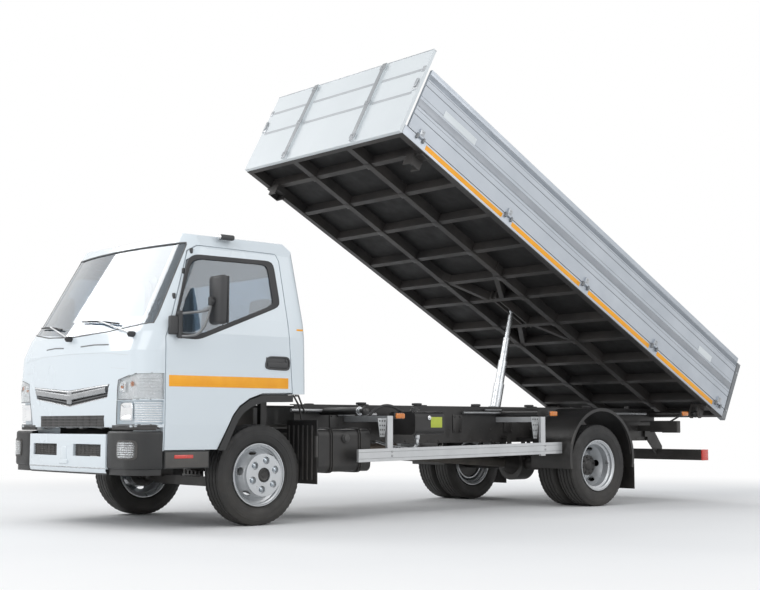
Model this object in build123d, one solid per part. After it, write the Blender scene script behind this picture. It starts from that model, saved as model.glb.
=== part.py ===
"""Light cab-over tipper truck with its load bed raised.

Millimetres. Modelled with the front axle at y = 0, the front of the truck
towards -Y, its left side at +X and the road at z = 0. The bed is drawn
lowered, in its own u (back from its front) and v (up from its underside),
and then turned up about its rear pivot. On export everything is moved along
Y so that the origin is the middle of the overall box.
"""
import os
from math import atan2, cos, degrees, radians, sin, sqrt

from build123d import *

# ---------------------------------------------------------------- main lengths
WHEELBASE = 3850
BED_FRONT_Y = 701        # front of the lowered bed
BED_LEN = 5054
BED_PIVOT_U = BED_LEN - 235
PIVOT_Y = BED_FRONT_Y + BED_PIVOT_U

# ---------------------------------------------------------------- wheels
TRACK = 1674             # middles of the front tyres, and of the rear twins
TYRE_R = 383.5
TYRE_W = 215
TYRE_FLATS = 48          # strips round a tyre
RIM_R = 222.5            # bead seat
RIM_W = 152              # between the flanges
FLANGE_R = 238.5
FLANGE_T = 13
RIM_WELL = 18            # depth of the drop centre
RIM_T = 7
BEAD_GAP = 0.2
TWIN_PITCH = 250
STUD_PCD = 222.25
STUD_COUNT = 6
STUD_R = (9, 9.3)        # left and right wheels: apart only so that the two sides can be told apart
STUD_STANDOUT = (24, 32)  # beyond a front and a rear wheel
HAND_HOLES = 6
HAND_HOLE_R = 31
DISC_T = 12
HUB_R = 72
HUB_FLANGE_T = 14
FRONT_HUB_OUT = 24       # cap beyond the front nave
FRONT_CAP_R = 50
# ring over the front wheel nuts: bore, outer radius, thickness, radius of its six pockets
NUT_RING = (56, 163, 29, 30)
REAR_HUB_OUT = 96
FRONT_DRUM = (150, 96)   # radius, depth
REAR_DRUM = (172, 136)
DRUM_T = 12
CLOCKING = (20, -25)     # degrees the front and the rear wheels are turned from their first place

# ---------------------------------------------------------------- axles and steering
AXLE_Z = TYRE_R
KINGPIN_X = 690
KINGPIN_R = 19
KNUCKLE_BOSS = (40, 100)  # radius, height
EAR = (34, 24)           # radius, thickness of a knuckle's ears
EAR_GAP = 1.0
SPINDLE_R = 26
REAR_STUB_R = 42
RUN_GAP = 0.3            # radial gap of the truck's own shafts
STEER_ARM = 165          # kingpin to tie-rod pin, backwards
STEER_ARM_T = 18
TIE_ROD_R = 14
TIE_EYE = (21, 34)       # radius, height
TIE_PIN_R = 9
BEAM_DROP = 70           # middle of the front beam below the wheel centres
BEAM_DROP_X = 520
BEAM = (64, 70)          # depth along Y, height
AXLE_TUBE_R = 62
DIFF = (165, 190)        # radius, length along Y
DIFF_NOSE = (125, 60, 130)  # large and small radius, length
SPRING_X = 440
SPRING_W = 70
LEAF_T = 12
# half length, leaves, rise, height of the pack's foot above the wheel centre
FRONT_SPRING = (560, 4, 50, 12)
REAR_SPRING = (620, 5, 30, 76)

# ---------------------------------------------------------------- ladder frame and sub-frame
RAIL_OUT = 400           # outer face of a rail
RAIL_FLANGE = 70
RAIL_T = 7
RAIL_Z = (600, 747)
RAIL_Y = (-985, PIVOT_Y + 15)
CROSS_Y = (-930, -560, 1080, 1750, 2500, 3290, 3645, 4500, PIVOT_Y - 40)
CROSS = (60, 60, 20)     # length along Y, height, height above the rail's foot
SUB_Z_TOP = 936
SUB_Y = (730, PIVOT_Y + 55)
SUB_FLANGE = 60
SUB_CROSS_Y = (770, 1900, 2700, 3330, 3790, 4400, 5000)
SUB_CROSS = (70, 25)     # length along Y, clear height below and above
TUBE_R = 30              # cross tubes under the bed
MID_TUBE_Y = 3190
BALL_X = 970
BALL_R = 36
BALL_NECK_R = 20
PAD_Y = (1485, 2145, 2900, 3635, 4500, 5150)
PAD_R = 28
PAD_H = 24

# ---------------------------------------------------------------- bed
BED_HALF = 1117
BED_TIP = 27.7           # degrees raised
BED_PIVOT_V = -89
BED_PAD_GAP = 5          # above the pads when lowered
BED_FLOOR_V = 92         # top of the grid, underside of the floor plate
BED_FLOOR_T = 5
EDGE_W = 60              # edge rail
BEAM_X = (355, 425)      # long beams under the floor
BED_CROSS_U = (300, 760, 1235, 1735, 2190, 2560, 3060, 3420, 3850, 4280, BED_LEN - 354)
BED_CROSS_W = 50
BRACE_W = 60
SOCKET_U = 322           # front ball cups
SIDE_U = (40, BED_LEN + 8)
SIDE_V = (103, 707)      # drop side, from its foot to its top
SIDE_T = 27
SIDE_IN = 4              # its face behind the edge rail's
SIDE_GROOVE_V = (244, 543)
SIDE_HINGE_U = (188, 1398, 2575, 3739, BED_LEN - 129)
SIDE_HINGE_OUT = 12      # pins beyond the edge rail
SIDE_HINGE_V = 96
SIDE_EYE_R = 11
SIDE_PIN_R = 5
EYE_HALF = 26
LUG_AT = 40              # lugs each side of an eye
LUG_T = 20
HEAD_V = (4, 883)
HEAD_T = 32
HEAD_RIB_X = (-485, 500)
HEAD_RIB = (48, 22)      # width, standing out
POST_U = (8, 62)         # corner posts, from the sides' ends
POST_W = 34
POST_TOP_V = 655
TAIL_GAP_U = 14          # tailgate behind the floor
TAIL_V = (72, 612)
TAIL_T = 30
TAIL_SIDE_GAP = 42
TAIL_HINGE_V = 632
TAIL_PIN_R = 9
TAIL_ARM = (75, 8)       # in from the bed's side, half thickness

# ---------------------------------------------------------------- hoist
HOIST_BASE = (PIVOT_Y - 2060.5, 600)      # y, z of its lower pivot
HOIST_PIN_UV = (BED_PIVOT_U - 2011, 30)
HOIST_STAGES = 4
HOIST_TUBE = (-70, 350)           # ends along its axis from the lower pivot
HOIST_RADII = (61, 52, 43.5, 34.5, 25)
HOIST_GAP = 0.6
HOIST_FLOOR = 12
HOIST_BALL_R = 25
HOIST_NECK = (15, 48)             # radius, length
TRUNNION_R = 22
CHEEK = (26, 18, 300)             # inner face from the middle, thickness, half length

# ---------------------------------------------------------------- cab
# height, front at the middle, how far the corners lag, half width, corner radius, back
CAB_SECTIONS = (
    (560, -1100, 22, 985, 150, 414),
    (760, -1106, 22, 997.5, 160, 414),
    (1030, -1128, 26, 997.5, 170, 414),
    (1300, -1130, 40, 997.5, 190, 409),
    (1440, -1100, 66, 997.5, 205, 405),
    (1560, -1030, 78, 985, 210, 400),
    (2140, -712, 70, 893, 190, 342),
    (2330, -606, 64, 862, 180, 322),
)
CAB_REAR_R = 70
CAB_WALL = 48
# y, z of the roof's middle: foot of the front, two knees, crown, rear knee
ROOF_SIDE = ((-760, 2128), (-690, 2178), (-250, 2268), (240, 2214), (330, 2120))
ROOF_HALF = 905
ROOF_FRONT_Z = (1990, 2070, 2190, 2272)   # across: gutter foot, gutter, shoulder, crown
CAB_HINGE = (-980, 760)  # y, z of the tilting axis
CAB_PIN_R = 12
CAB_FRONT_FOOT_Z = 745   # the front panel ends here, above the bumper
CAB_FOOT_Z = 575
CAB_REST_Z = 985
CAB_REST_Y = (395, 455)
# y, z along the wheel arch, from its front foot to the cab's back
ARCH = ((-434, 575), (-300, 830), (-243, 897), (-150, 955), (-28, 995), (500, 1003))
TUNNEL_HALF = 572
TUNNEL_FRONT_Y = -1055
TUNNEL_Z = 800
ENGINE_TUNNEL = (300, 1010)       # half width, top
FLOOR_Z = 1045
# y, z round a door and round its window
DOOR = ((-882, 582), (-428, 582), (-295, 838), (-238, 905), (-146, 963), (-26, 1003), (255, 1011),
        (178, 2040), (150, 2092), (-560, 2100), (-622, 2062), (-884, 1400))
DOOR_WINDOW = ((-800, 1400), (-600, 1394), (120, 1668), (150, 1700), (122, 2000), (90, 2030),
               (-590, 2026), (-650, 1990), (-806, 1520))
DOOR_GAP = 7
DOOR_SKIN = 12           # the outer panel, which laps the frame
DOOR_SEAL = 5            # room for the seal behind that lap
DOOR_LAP = 20            # the inner part stands in by this much
DOOR_X = 780             # inside every door's panel
# x, z round the windscreen, seen from the front
WINDSCREEN = ((-915, 1500), (0, 1432), (915, 1500), (822, 2110), (815, 2128), (-815, 2128), (-822, 2110))
REAR_WINDOW = (600, 1560, 1960)   # half width, foot, top
GLASS_T = 5
GLASS_INSET = 7

# front panel
LAMP_T = 30
LAMP_BACK_Y = -896
# x, z round the left lamps, seen from the front
UPPER_LAMP = ((692, 946), (1010, 946), (1010, 1134), (905, 1128), (712, 1086))
LOWER_LAMP = ((668, 766), (1010, 766), (1010, 938), (690, 938))
GRILLE_HALF = (592, 560)          # half width at the top and at the foot
GRILLE_Z = (962, 1058)            # foot and top at the ends
GRILLE_DIP = (62, 38)             # how much lower the foot and the top are in the middle
GRILLE_BACK = (-1092, -1082)
GRILLE_SINK = 5                   # bars behind the panel's skin
INTAKE_HALF = (510, 490)
INTAKE_Z = (786, 832)
INTAKE_BACK = (-1076, -1066)

# inside
SEATS_X = ((330, 850), (-350, 145), (-850, -355))
SEAT_CUSHION = ((-420, 1045), (140, 1045), (120, 1180), (-420, 1210))   # y, z
SEAT_BACK = ((145, 1045), (250, 1045), (312, 1790), (225, 1790))
SEAT_GAP = 0.3
SEAT_ROUND = 12
DASH = ((-1150, 1256), (-760, 1230), (-700, 1150), (-720, 1000), (-1150, 930))
DASH_HALF = 880
STEER_X = 590
STEER_C = (-560, 1400)   # wheel centre y, z
STEER_TILT = 32          # column from the vertical
STEER_RING = (205, 15)
STEER_HUB = (38, 46)
COLUMN = (28, 330)       # radius, length

# outside
FLARE_W = 60
FLARE_X = (900, 1003)
FLARE_END_Y = 262
LINER = ((740, 938), 905, 24)     # thin part between a lip and the cab: x, lowest z, thickness
MIRROR_FOOT = ((-864, 1392), (-752, 1392), (-752, 1566), (-806, 1566), (-864, 1420))
MIRROR_ARM_R = 11
MIRROR_HEAD = ((1080, 1270), (-600, -520), (1490, 1855))
# each arm: foot on the door, bend, and the head's back
MIRROR_ARMS = (((1030, -840, 1550), (1170, -640, 1610), (1175, -560, 1640)),
               ((1030, -840, 1420), (1130, -700, 1425), (1175, -560, 1640)))
STEP_BOX = ((800, 990), (-880, -500), (448, CAB_FOOT_Z))

# ---------------------------------------------------------------- bumper
BUMPER_Z = (440, 695)
BUMPER_FRONT = -1152
BUMPER_BOW = 20
BUMPER_HALF = 997.5
BUMPER_CORNER_R = 175
BUMPER_T = 28
BUMPER_SPLIT_X = 605     # white middle, dark corners
BUMPER_SLOTS_X = (130, 535)
BUMPER_SLOTS_Z = (532, 620)
CORNER_TOP_Z = 718
CORNER_RISE_T = 20
LIP_Z = 397
LIP_IN = 16
STAY = ((332, 396), (570, 632))
FOG_AT = (835, 582)
FOG_R = 58

# ---------------------------------------------------------------- chassis fittings
ENGINE = ((-255, 255), (-330, 420), (470, 985))
GEARBOX = ((-150, 150), (420, 1010), (470, 760))
SHAFT_R = 45
SHAFT_Z = 560
SILENCER = (115, -560, (1450, 2250), 560)       # radius, x, y, z
PIPE_R = 38
FUEL_TANK = ((470, 880), (610, 1156), (385, 730))
OIL_TANK = ((560, 900), (1640, 1985), (680, 875))
GUARD_X = (975, 1000)
GUARD_Y = (930, WHEELBASE - 454)
GUARD_Z = (462, 566)
GUARD_SLOPE = 40         # its rear end stands this much higher
GUARD_POST_Y = (1290, WHEELBASE - 685)
GUARD_ARM_Z = (790, 838)
MUD_R = 470
MUD_X = (600, 1085)
MUD_T = 6
MUD_LIP = 30
MUD_AT = (30, 70)        # middle behind and above the rear axle
MUD_STAY_Z = 175         # above that middle
FLAP_FOOT_Z = 150
FRONT_FLAP = ((610, 1000), (500, 508), (300, 800))
UNDERRUN = ((-1000, 1000), (PIVOT_Y + 60, PIVOT_Y + 160), (400, 510))
UNDERRUN_FOOT = (PIVOT_Y - 140, PIVOT_Y - 20)    # where its arms meet the frame
UNDERRUN_ARM = ((PIVOT_Y - 95, 610), (PIVOT_Y - 95, 745), (PIVOT_Y - 15, 745), (PIVOT_Y + 150, 540),
                (PIVOT_Y + 150, 440), (PIVOT_Y + 75, 440))
REAR_LAMP = ((560, 900), (PIVOT_Y - 230, PIVOT_Y - 175), (690, 800))
REAR_LAMP_STAY = ((PIVOT_Y - 220, PIVOT_Y - 190), (700, 760))

EXPORT = {}


def keep(name, shape):
    """Remember a finished sub-part by its node name."""
    EXPORT[name] = shape


def box(x, y, z):
    """Box from its low and high values along each axis."""
    (x0, x1), (y0, y1), (z0, z1) = sorted(x), sorted(y), sorted(z)
    return Pos((x0 + x1) / 2, (y0 + y1) / 2, (z0 + z1) / 2) * Box(x1 - x0, y1 - y0, z1 - z0)


def about(middle, half):
    """Low and high value either side of a middle."""
    return middle - half, middle + half


def rod_x(r, x, y, z):
    """Round bar along X."""
    return Pos((x[0] + x[1]) / 2, y, z) * Rot(0, 90, 0) * Cylinder(r, abs(x[1] - x[0]))


def rod_y(r, x, y, z):
    return Pos(x, (y[0] + y[1]) / 2, z) * Rot(90, 0, 0) * Cylinder(r, abs(y[1] - y[0]))


def rod_z(r, x, y, z):
    return Pos(x, y, (z[0] + z[1]) / 2) * Cylinder(r, abs(z[1] - z[0]))


def rod(r, a, b):
    """Round bar between two points."""
    a, b = Vector(*a), Vector(*b)
    return Solid.make_cylinder(r, (b - a).length, Plane(origin=a, z_dir=b - a))


def side_face(points, by=0):
    """Side-view outline (y, z), moved outwards by an even gap."""
    face = make_face(Polyline(*[(0, y, z) for y, z in points], close=True))
    return offset(face, by) if by else face


def prism_x(points, x, by=0, radius=0):
    """Side-view outline pushed along X between two values."""
    face = side_face(points, by)
    if radius:
        face = fillet(face.vertices(), radius)
    return Pos(x[0], 0, 0) * extrude(face, amount=x[1] - x[0], dir=(1, 0, 0))


def prism_y(points, y, by=0):
    """Front-view outline (x, z) pushed along Y between two values."""
    face = make_face(Polyline(*[(x, 0, z) for x, z in points], close=True))
    if by:
        face = offset(face, by)
    return Pos(0, y[0], 0) * extrude(face, amount=y[1] - y[0], dir=(0, 1, 0))


def prism_z(points, z):
    """Plan outline (x, y) pushed along Z between two values."""
    face = make_face(Polyline(*[(x, y, 0) for x, y in points], close=True))
    return Pos(0, 0, z[0]) * extrude(face, amount=z[1] - z[0], dir=(0, 0, 1))


def spun_x(points, y, z):
    """Section (x, r) turned about a line along X through y, z."""
    face = make_face(Polyline(*[(x, r, 0) for x, r in points], close=True))
    return Pos(0, y, z) * revolve(face, Axis.X)


def mirror_x(shape):
    return mirror(shape, Plane.YZ)


def both(shape):
    """A piece and its mirror image across the truck's middle."""
    return [shape, mirror_x(shape)]


def flat_list(shapes):
    flat = []
    for shape in shapes:
        flat += list(shape) if isinstance(shape, (list, tuple)) else [shape]
    return flat


def group(*shapes):
    """Several solids that share one node."""
    return Compound(children=[solid for shape in flat_list(shapes) for solid in shape.solids()])


def fused(*shapes):
    first, *rest = flat_list(shapes)
    for shape in rest:
        first = first + shape
    return first


# ---------------------------------------------------------------- the raised bed
PIVOT_Z = SUB_Z_TOP + PAD_H + BED_PAD_GAP + BED_PIVOT_V
BED_Z = PIVOT_Z - BED_PIVOT_V              # underside of the lowered bed


def bed_y(u):
    """Low and high place along Y of a span of the lowered bed."""
    return BED_FRONT_Y + u[0], BED_FRONT_Y + u[1]


def bed_box(x, u, v):
    """Box in the lowered bed's own axes."""
    return box(x, bed_y(u), (BED_Z + v[0], BED_Z + v[1]))


def tipped(shape):
    """Turn a piece of the lowered bed to its raised place."""
    return shape.rotate(Axis((0, PIVOT_Y, PIVOT_Z), (1, 0, 0)), -BED_TIP)


def bed_point(u, v):
    """y, z of a point of the raised bed."""
    a = radians(BED_TIP)
    du, dv = u - BED_PIVOT_U, v - BED_PIVOT_V
    return PIVOT_Y + du * cos(a) + dv * sin(a), PIVOT_Z - du * sin(a) + dv * cos(a)


# ---------------------------------------------------------------- wheels
WHEEL_X = TRACK / 2
RIM_LIP = 4              # how far the bead seat stops short of a flange
TYRE_SIDE = ((RIM_W / 2 - RIM_LIP, RIM_R + BEAD_GAP), (RIM_W / 2 + 1, FLANGE_R + 6),
             (TYRE_W / 2, 330), (86, TYRE_R))
FRONT_NAVE = WHEEL_X + TWIN_PITCH / 2      # the same pressed wheel front and rear
HUB_FLANGE_R = STUD_PCD / 2 + 18
WELL_RING = RIM_R - RIM_WELL - RIM_T       # inner radius of the drop centre


def tyre(centre, y):
    """Plain carcass of flat strips, its bead on the rim and a flat on the road."""
    ring = [(centre - x, r) for x, r in reversed(TYRE_SIDE)] + [(centre + x, r) for x, r in TYRE_SIDE]
    step = radians(360 / TYRE_FLATS)
    faces = []
    for i in range(TYRE_FLATS):
        for near, far in zip(ring, ring[1:] + ring[:1]):
            corners = []
            for (x, r), turn in ((near, i), (far, i), (far, i + 1), (near, i + 1)):
                a, reach = step * (turn - 0.5), r / cos(step / 2)
                corners.append((x, y + reach * sin(a), TYRE_R - reach * cos(a)))
            faces.append(Face(Wire.make_polygon(corners)))
    return Solid(Shell(faces))


def barrel(centre, y):
    """Rolled rim with a drop centre and two flanges."""
    half, t, well = RIM_W / 2, RIM_T, RIM_R - RIM_WELL
    outside = [(half + FLANGE_T, FLANGE_R), (half, FLANGE_R), (half - RIM_LIP, RIM_R), (48, RIM_R),
               (40, well)]
    inside = [(44, well - t), (52, RIM_R - t), (half, RIM_R - t), (half + t, FLANGE_R - t - 4),
              (half + FLANGE_T, FLANGE_R - t)]
    ring = [(-x, r) for x, r in outside] + outside[::-1] + inside[::-1] + [(-x, r) for x, r in inside]
    return spun_x([(centre + x, r) for x, r in ring], y, TYRE_R)


# distance from the rim's middle and radius along the pressed disc, from its foot to its nave and back
WHEEL_DISC = ((20, WELL_RING), (42, WELL_RING), (112, 167), (TWIN_PITCH / 2, 160),
              (TWIN_PITCH / 2, HUB_R + 1), (TWIN_PITCH / 2 - DISC_T, HUB_R + 1),
              (TWIN_PITCH / 2 - DISC_T, 150), (100, 155))
HAND_HOLE_AT = (85, 179, 67)               # middle of a hand hole on that disc, and its lean from the axle


def rim(centre, y, out):
    """Pressed wheel: barrel and a dished disc that opens towards +X (out 1) or -X (out -1)."""
    disc = spun_x([(centre + out * d, r) for d, r in WHEEL_DISC], y, TYRE_R)
    d, r, lean = HAND_HOLE_AT
    reach = (-30, 18) if out > 0 else (-18, 30)
    for i in range(HAND_HOLES):
        hole = Pos(0, 0, r) * Rot(0, -lean * out, 0) * rod_x(HAND_HOLE_R, reach, 0, 0)
        disc = disc - Pos(centre + out * d, y, TYRE_R) * Rot(360 / HAND_HOLES * i - 60, 0, 0) * hole
    return barrel(centre, y) + disc


def nut_ring(nave, y):
    """Thick bright ring on a front nave, with a pocket round each nut."""
    bore, r, thick, pocket = NUT_RING
    outer = nave + thick
    ring = spun_x([(nave, bore), (nave, r), (outer - 3, r), (outer, r - 3), (outer, bore)], y, TYRE_R)
    for hole in studs(pocket, nave + 3, nave + thick + 5, y):
        ring = ring - hole
    return ring


def studs(r, x0, x1, y):
    """Six wheel studs on their circle, along X."""
    ring = []
    for i in range(STUD_COUNT):
        a = radians(360 / STUD_COUNT * i)
        ring.append(rod_x(r, (x0, x1), y + STUD_PCD / 2 * cos(a), TYRE_R + STUD_PCD / 2 * sin(a)))
    return ring


def hub(face, depth, bore, bore_end, nose, y):
    """Turned hub behind and in front of its flange, whose outer face is at x = face."""
    back = face - HUB_FLANGE_T
    return spun_x([(face - depth, bore), (face - depth, HUB_R), (back, HUB_R), (back, HUB_FLANGE_R),
                   (face, HUB_FLANGE_R), (face, HUB_R), *nose, (nose[-1][0], 0), (bore_end, 0),
                   (bore_end, bore)], y, TYRE_R)


def drum(face, sizes, y):
    """Brake drum behind the hub's flange."""
    r, depth = sizes
    back = face - HUB_FLANGE_T
    return spun_x([(back, HUB_R), (back, r), (back - depth, r), (back - depth, r - DRUM_T),
                   (back - DRUM_T, r - DRUM_T), (back - DRUM_T, HUB_R)], y, TYRE_R)


def front_wheel(stud_r):
    """Left front wheel: rim, hub, brake drum and studs in one."""
    face = FRONT_NAVE - DISC_T
    nose = [(FRONT_NAVE, HUB_R), (FRONT_NAVE, FRONT_CAP_R), (FRONT_NAVE + FRONT_HUB_OUT - 6, FRONT_CAP_R),
            (FRONT_NAVE + FRONT_HUB_OUT, FRONT_CAP_R - 10)]
    whole = fused(rim(WHEEL_X, 0, 1), nut_ring(FRONT_NAVE, 0),
                  hub(face, 70, SPINDLE_R + RUN_GAP, FRONT_NAVE + 8, nose, 0),
                  drum(face, FRONT_DRUM, 0),
                  *studs(stud_r, face - HUB_FLANGE_T, FRONT_NAVE + STUD_STANDOUT[0], 0))
    return whole


def rear_wheels(stud_r):
    """Left rear twin wheels: two rims on one hub."""
    y, x = WHEELBASE, WHEEL_X
    face = x - DISC_T
    nose = [(x + 70, HUB_R), (x + 74, HUB_R + 22), (x + 90, HUB_R + 22), (x + REAR_HUB_OUT, HUB_R - 26)]
    whole = fused(rim(x + TWIN_PITCH / 2, y, -1), rim(x - TWIN_PITCH / 2, y, 1),
                  hub(face, 90, REAR_STUB_R + RUN_GAP, x + 60, nose, y),
                  drum(face, REAR_DRUM, y),
                  *studs(stud_r, face - HUB_FLANGE_T, x + DISC_T + STUD_STANDOUT[1], y))
    return whole


def clocked(shape, y):
    """A wheel turned on its axle to where it stands."""
    return shape.rotate(Axis((0, y, TYRE_R), (1, 0, 0)), CLOCKING[0] if y == 0 else CLOCKING[1])


# ---------------------------------------------------------------- axles and steering
FRONT_SPRING_Z = AXLE_Z + FRONT_SPRING[3]
REAR_SPRING_Z = AXLE_Z + REAR_SPRING[3]
BOSS_Z = about(AXLE_Z, KNUCKLE_BOSS[1] / 2)
EAR_Z = (BOSS_Z[0] - EAR_GAP - EAR[1], BOSS_Z[0] - EAR_GAP, BOSS_Z[1] + EAR_GAP, BOSS_Z[1] + EAR_GAP + EAR[1])
TIE_Z = EAR_Z[0] - STEER_ARM_T - EAR_GAP


def front_axle():
    """Dropped beam with a kingpin eye at each end."""
    x, low = BEAM_DROP_X, AXLE_Z - BEAM_DROP
    half = BEAM[1] / 2
    beam = prism_y([(-KINGPIN_X, AXLE_Z - 30), (-x, low - half), (x, low - half), (KINGPIN_X, AXLE_Z - 30),
                    (KINGPIN_X, AXLE_Z + 30), (x, low + half), (-x, low + half), (-KINGPIN_X, AXLE_Z + 30)],
                   about(0, BEAM[0] / 2))
    for side in (1, -1):
        pad = box(about(side * SPRING_X, 45), (-60, 60), (low + half - 12, FRONT_SPRING_Z))
        beam = beam + rod_z(KNUCKLE_BOSS[0], side * KINGPIN_X, 0, BOSS_Z) + pad
        beam = beam - rod_z(KINGPIN_R + RUN_GAP, side * KINGPIN_X, 0, (BOSS_Z[0] - 5, BOSS_Z[1] + 5))
    return beam


def knuckle():
    """Left steering knuckle: fork, kingpin, spindle, backplate and arm."""
    low, under, over, high = EAR_Z
    outer = KINGPIN_X + 78
    body = rod_z(KINGPIN_R, KINGPIN_X, 0, (low, high))
    for z in ((low, under), (over, high)):
        body = body + box((KINGPIN_X, outer), about(0, EAR[0]), z) + rod_z(EAR[0], KINGPIN_X, 0, z)
    body = body + box((KINGPIN_X + 46, outer), (-50, 50), (low, high))
    body = body + rod_x(SPINDLE_R, (outer - 5, FRONT_NAVE + 3), 0, AXLE_Z)
    body = body + rod_x(140, (outer - 8, outer), 0, AXLE_Z)
    arm = prism_z([(KINGPIN_X - 34, -20), (KINGPIN_X + 34, -20), (KINGPIN_X + 22, STEER_ARM + 22),
                   (KINGPIN_X - 22, STEER_ARM + 22)], (low - STEER_ARM_T, low))
    return body + arm - rod_z(TIE_PIN_R + RUN_GAP, KINGPIN_X, STEER_ARM, (low - STEER_ARM_T - 2, low + 2))


def tie_rod():
    """Track rod between the two steering arms, its eyes under the arms."""
    r, height = TIE_EYE
    whole = rod_x(TIE_ROD_R, about(0, KINGPIN_X), STEER_ARM, TIE_Z - height / 2)
    for x in about(0, KINGPIN_X):
        whole = whole + rod_z(r, x, STEER_ARM, (TIE_Z - height, TIE_Z))
        whole = whole + rod_z(TIE_PIN_R, x, STEER_ARM, (TIE_Z - 5, TIE_Z + STEER_ARM_T + 3))
    return whole


def rear_axle():
    """Banjo housing, differential nose and wheel stubs."""
    y = WHEELBASE
    large, small, length = DIFF_NOSE
    housing = rod_x(AXLE_TUBE_R, about(0, WHEEL_X - 130), y, AXLE_Z)
    housing = housing + rod_x(REAR_STUB_R, about(0, WHEEL_X + 55), y, AXLE_Z)
    housing = housing + rod_y(DIFF[0], 0, about(y, DIFF[1] / 2), AXLE_Z)
    housing = housing + Pos(0, y - 150, AXLE_Z + 10) * Rot(90, 0, 0) * Cone(large, small, length)
    for side in (1, -1):
        housing = housing + box(about(side * SPRING_X, 50), about(y, 70), (AXLE_Z + 20, REAR_SPRING_Z))
        housing = housing + rod_x(150, (side * (WHEEL_X - 142), side * (WHEEL_X - 130)), y, AXLE_Z)
    return housing


def leaf(y, z0, half, rise, reach, low, high):
    """One curved leaf between two depths of the pack, as a ring sector."""
    big = half ** 2 / (2 * rise)
    a = reach / big

    def at(r, turn):
        return y + r * sin(turn), z0 + big - r * cos(turn)

    r0, r1 = big - low, big - high
    with BuildSketch(Plane.YZ) as s:
        with BuildLine():
            lower = ThreePointArc(at(r0, -a), at(r0, 0), at(r0, a))
            right = Line(lower @ 1, at(r1, a))
            upper = ThreePointArc(right @ 1, at(r1, 0), at(r1, -a))
            Line(upper @ 1, lower @ 0)
        make_face()
    return Pos(SPRING_X - SPRING_W / 2, 0, 0) * extrude(s.sketch, amount=SPRING_W)


def leaf_pack(y, z0, sizes):
    """Stacked leaves along Y, shorter towards the axle, with hangers up to the rail."""
    half, count, rise = sizes[:3]
    parts = [leaf(y, z0, half, rise, half * (1 - 0.14 * (count - 1 - i)), i * LEAF_T, (i + 1) * LEAF_T)
             for i in range(count)]
    top = z0 + count * LEAF_T + rise
    hang = RAIL_Z[0] + 60
    for yy in about(y, half - 6):
        parts.append(rod_x(22, about(SPRING_X, 40), yy, top - 4))
        for x in ((RAIL_OUT, SPRING_X - 36), (SPRING_X + 36, SPRING_X + 44)):
            parts.append(box(x, about(yy, 28), (top - 34, hang)))
        parts.append(box((RAIL_OUT, SPRING_X + 44), about(yy, 28), (hang - 20, hang)))
    return fused(*parts)


# ---------------------------------------------------------------- frame
RAIL_IN = RAIL_OUT - RAIL_T
FRONT_BALL_Y = BED_FRONT_Y + SOCKET_U
TUBE_Y = (FRONT_BALL_Y, MID_TUBE_Y, PIVOT_Y)


def channel(flange, y, z):
    """C-section rail at the left side, open towards the middle."""
    web = box((RAIL_IN, RAIL_OUT), y, z)
    low = box((RAIL_OUT - flange, RAIL_OUT), y, (z[0], z[0] + RAIL_T))
    top = box((RAIL_OUT - flange, RAIL_OUT), y, (z[1] - RAIL_T, z[1]))
    return fused(web, low, top)


def frame_cross_members():
    """Bars between the rails, and the cab's hinge and rest posts on top of them."""
    length, height, lift = CROSS
    foot = RAIL_Z[0] + lift
    bars = [box(about(0, RAIL_IN), about(y, length / 2), (foot, foot + height)) for y in CROSS_Y]
    y, z = CAB_HINGE
    post = box((330, 395), (y - 5, y + 60), (RAIL_Z[1], z + 26))
    post = post - rod_x(CAB_PIN_R + RUN_GAP, (300, 420), y, z)
    rest = box((340, 390), CAB_REST_Y, (RAIL_Z[1], CAB_REST_Z - 12))
    return group(*bars, both(post), both(rest))


def sub_rails():
    """Upper rails of the tipper on the chassis rails, with the bed's round pads."""
    z = (RAIL_Z[1], SUB_Z_TOP)
    rail = channel(SUB_FLANGE, SUB_Y, z)
    for y in PAD_Y:
        rail = rail + rod_z(PAD_R, RAIL_OUT - SUB_FLANGE / 2, y, (z[1] - 2, z[1] + PAD_H))
    for y in TUBE_Y:
        rail = rail - rod_x(TUBE_R, (RAIL_IN - 10, RAIL_OUT + 10), y, PIVOT_Z)
    return group(*both(rail))


def sub_cross_members():
    """Bars and round tubes across the sub-frame, the bed's balls and the hoist's cradle."""
    z = (RAIL_Z[1], SUB_Z_TOP)
    length, clear = SUB_CROSS
    parts = [box(about(0, RAIL_IN), about(y, length / 2), (z[0] + clear, z[1] - clear)) for y in SUB_CROSS_Y]
    for y in TUBE_Y:
        tube = rod_x(TUBE_R, about(0, BALL_X - 60), y, PIVOT_Z)
        reach = BALL_X + 62 if y == PIVOT_Y else BALL_X
        for side in (1, -1):
            if y != MID_TUBE_Y:
                tube = tube + rod_x(BALL_NECK_R, (side * (BALL_X - 70), side * reach), y, PIVOT_Z)
                tube = tube + Pos(side * BALL_X, y, PIVOT_Z) * Sphere(BALL_R)
        parts.append(tube)
    y, foot = HOIST_BASE
    near = HOIST_RADII[0] + 14
    plate = box((near, near + 30), about(y, 45), (foot - 45, z[0] + 90))
    arm = box((near + 16, RAIL_IN), about(y, 45), (z[0] + clear, z[0] + 90))
    brace = box((near + 16, RAIL_OUT - RAIL_FLANGE - 6), about(y, 8), (foot + 40, z[0] + 30))
    cradle = fused(plate, arm, brace) - rod_x(TRUNNION_R + RUN_GAP, (near - 10, near + 60), y, foot)
    return group(*parts, both(cradle))


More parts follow.
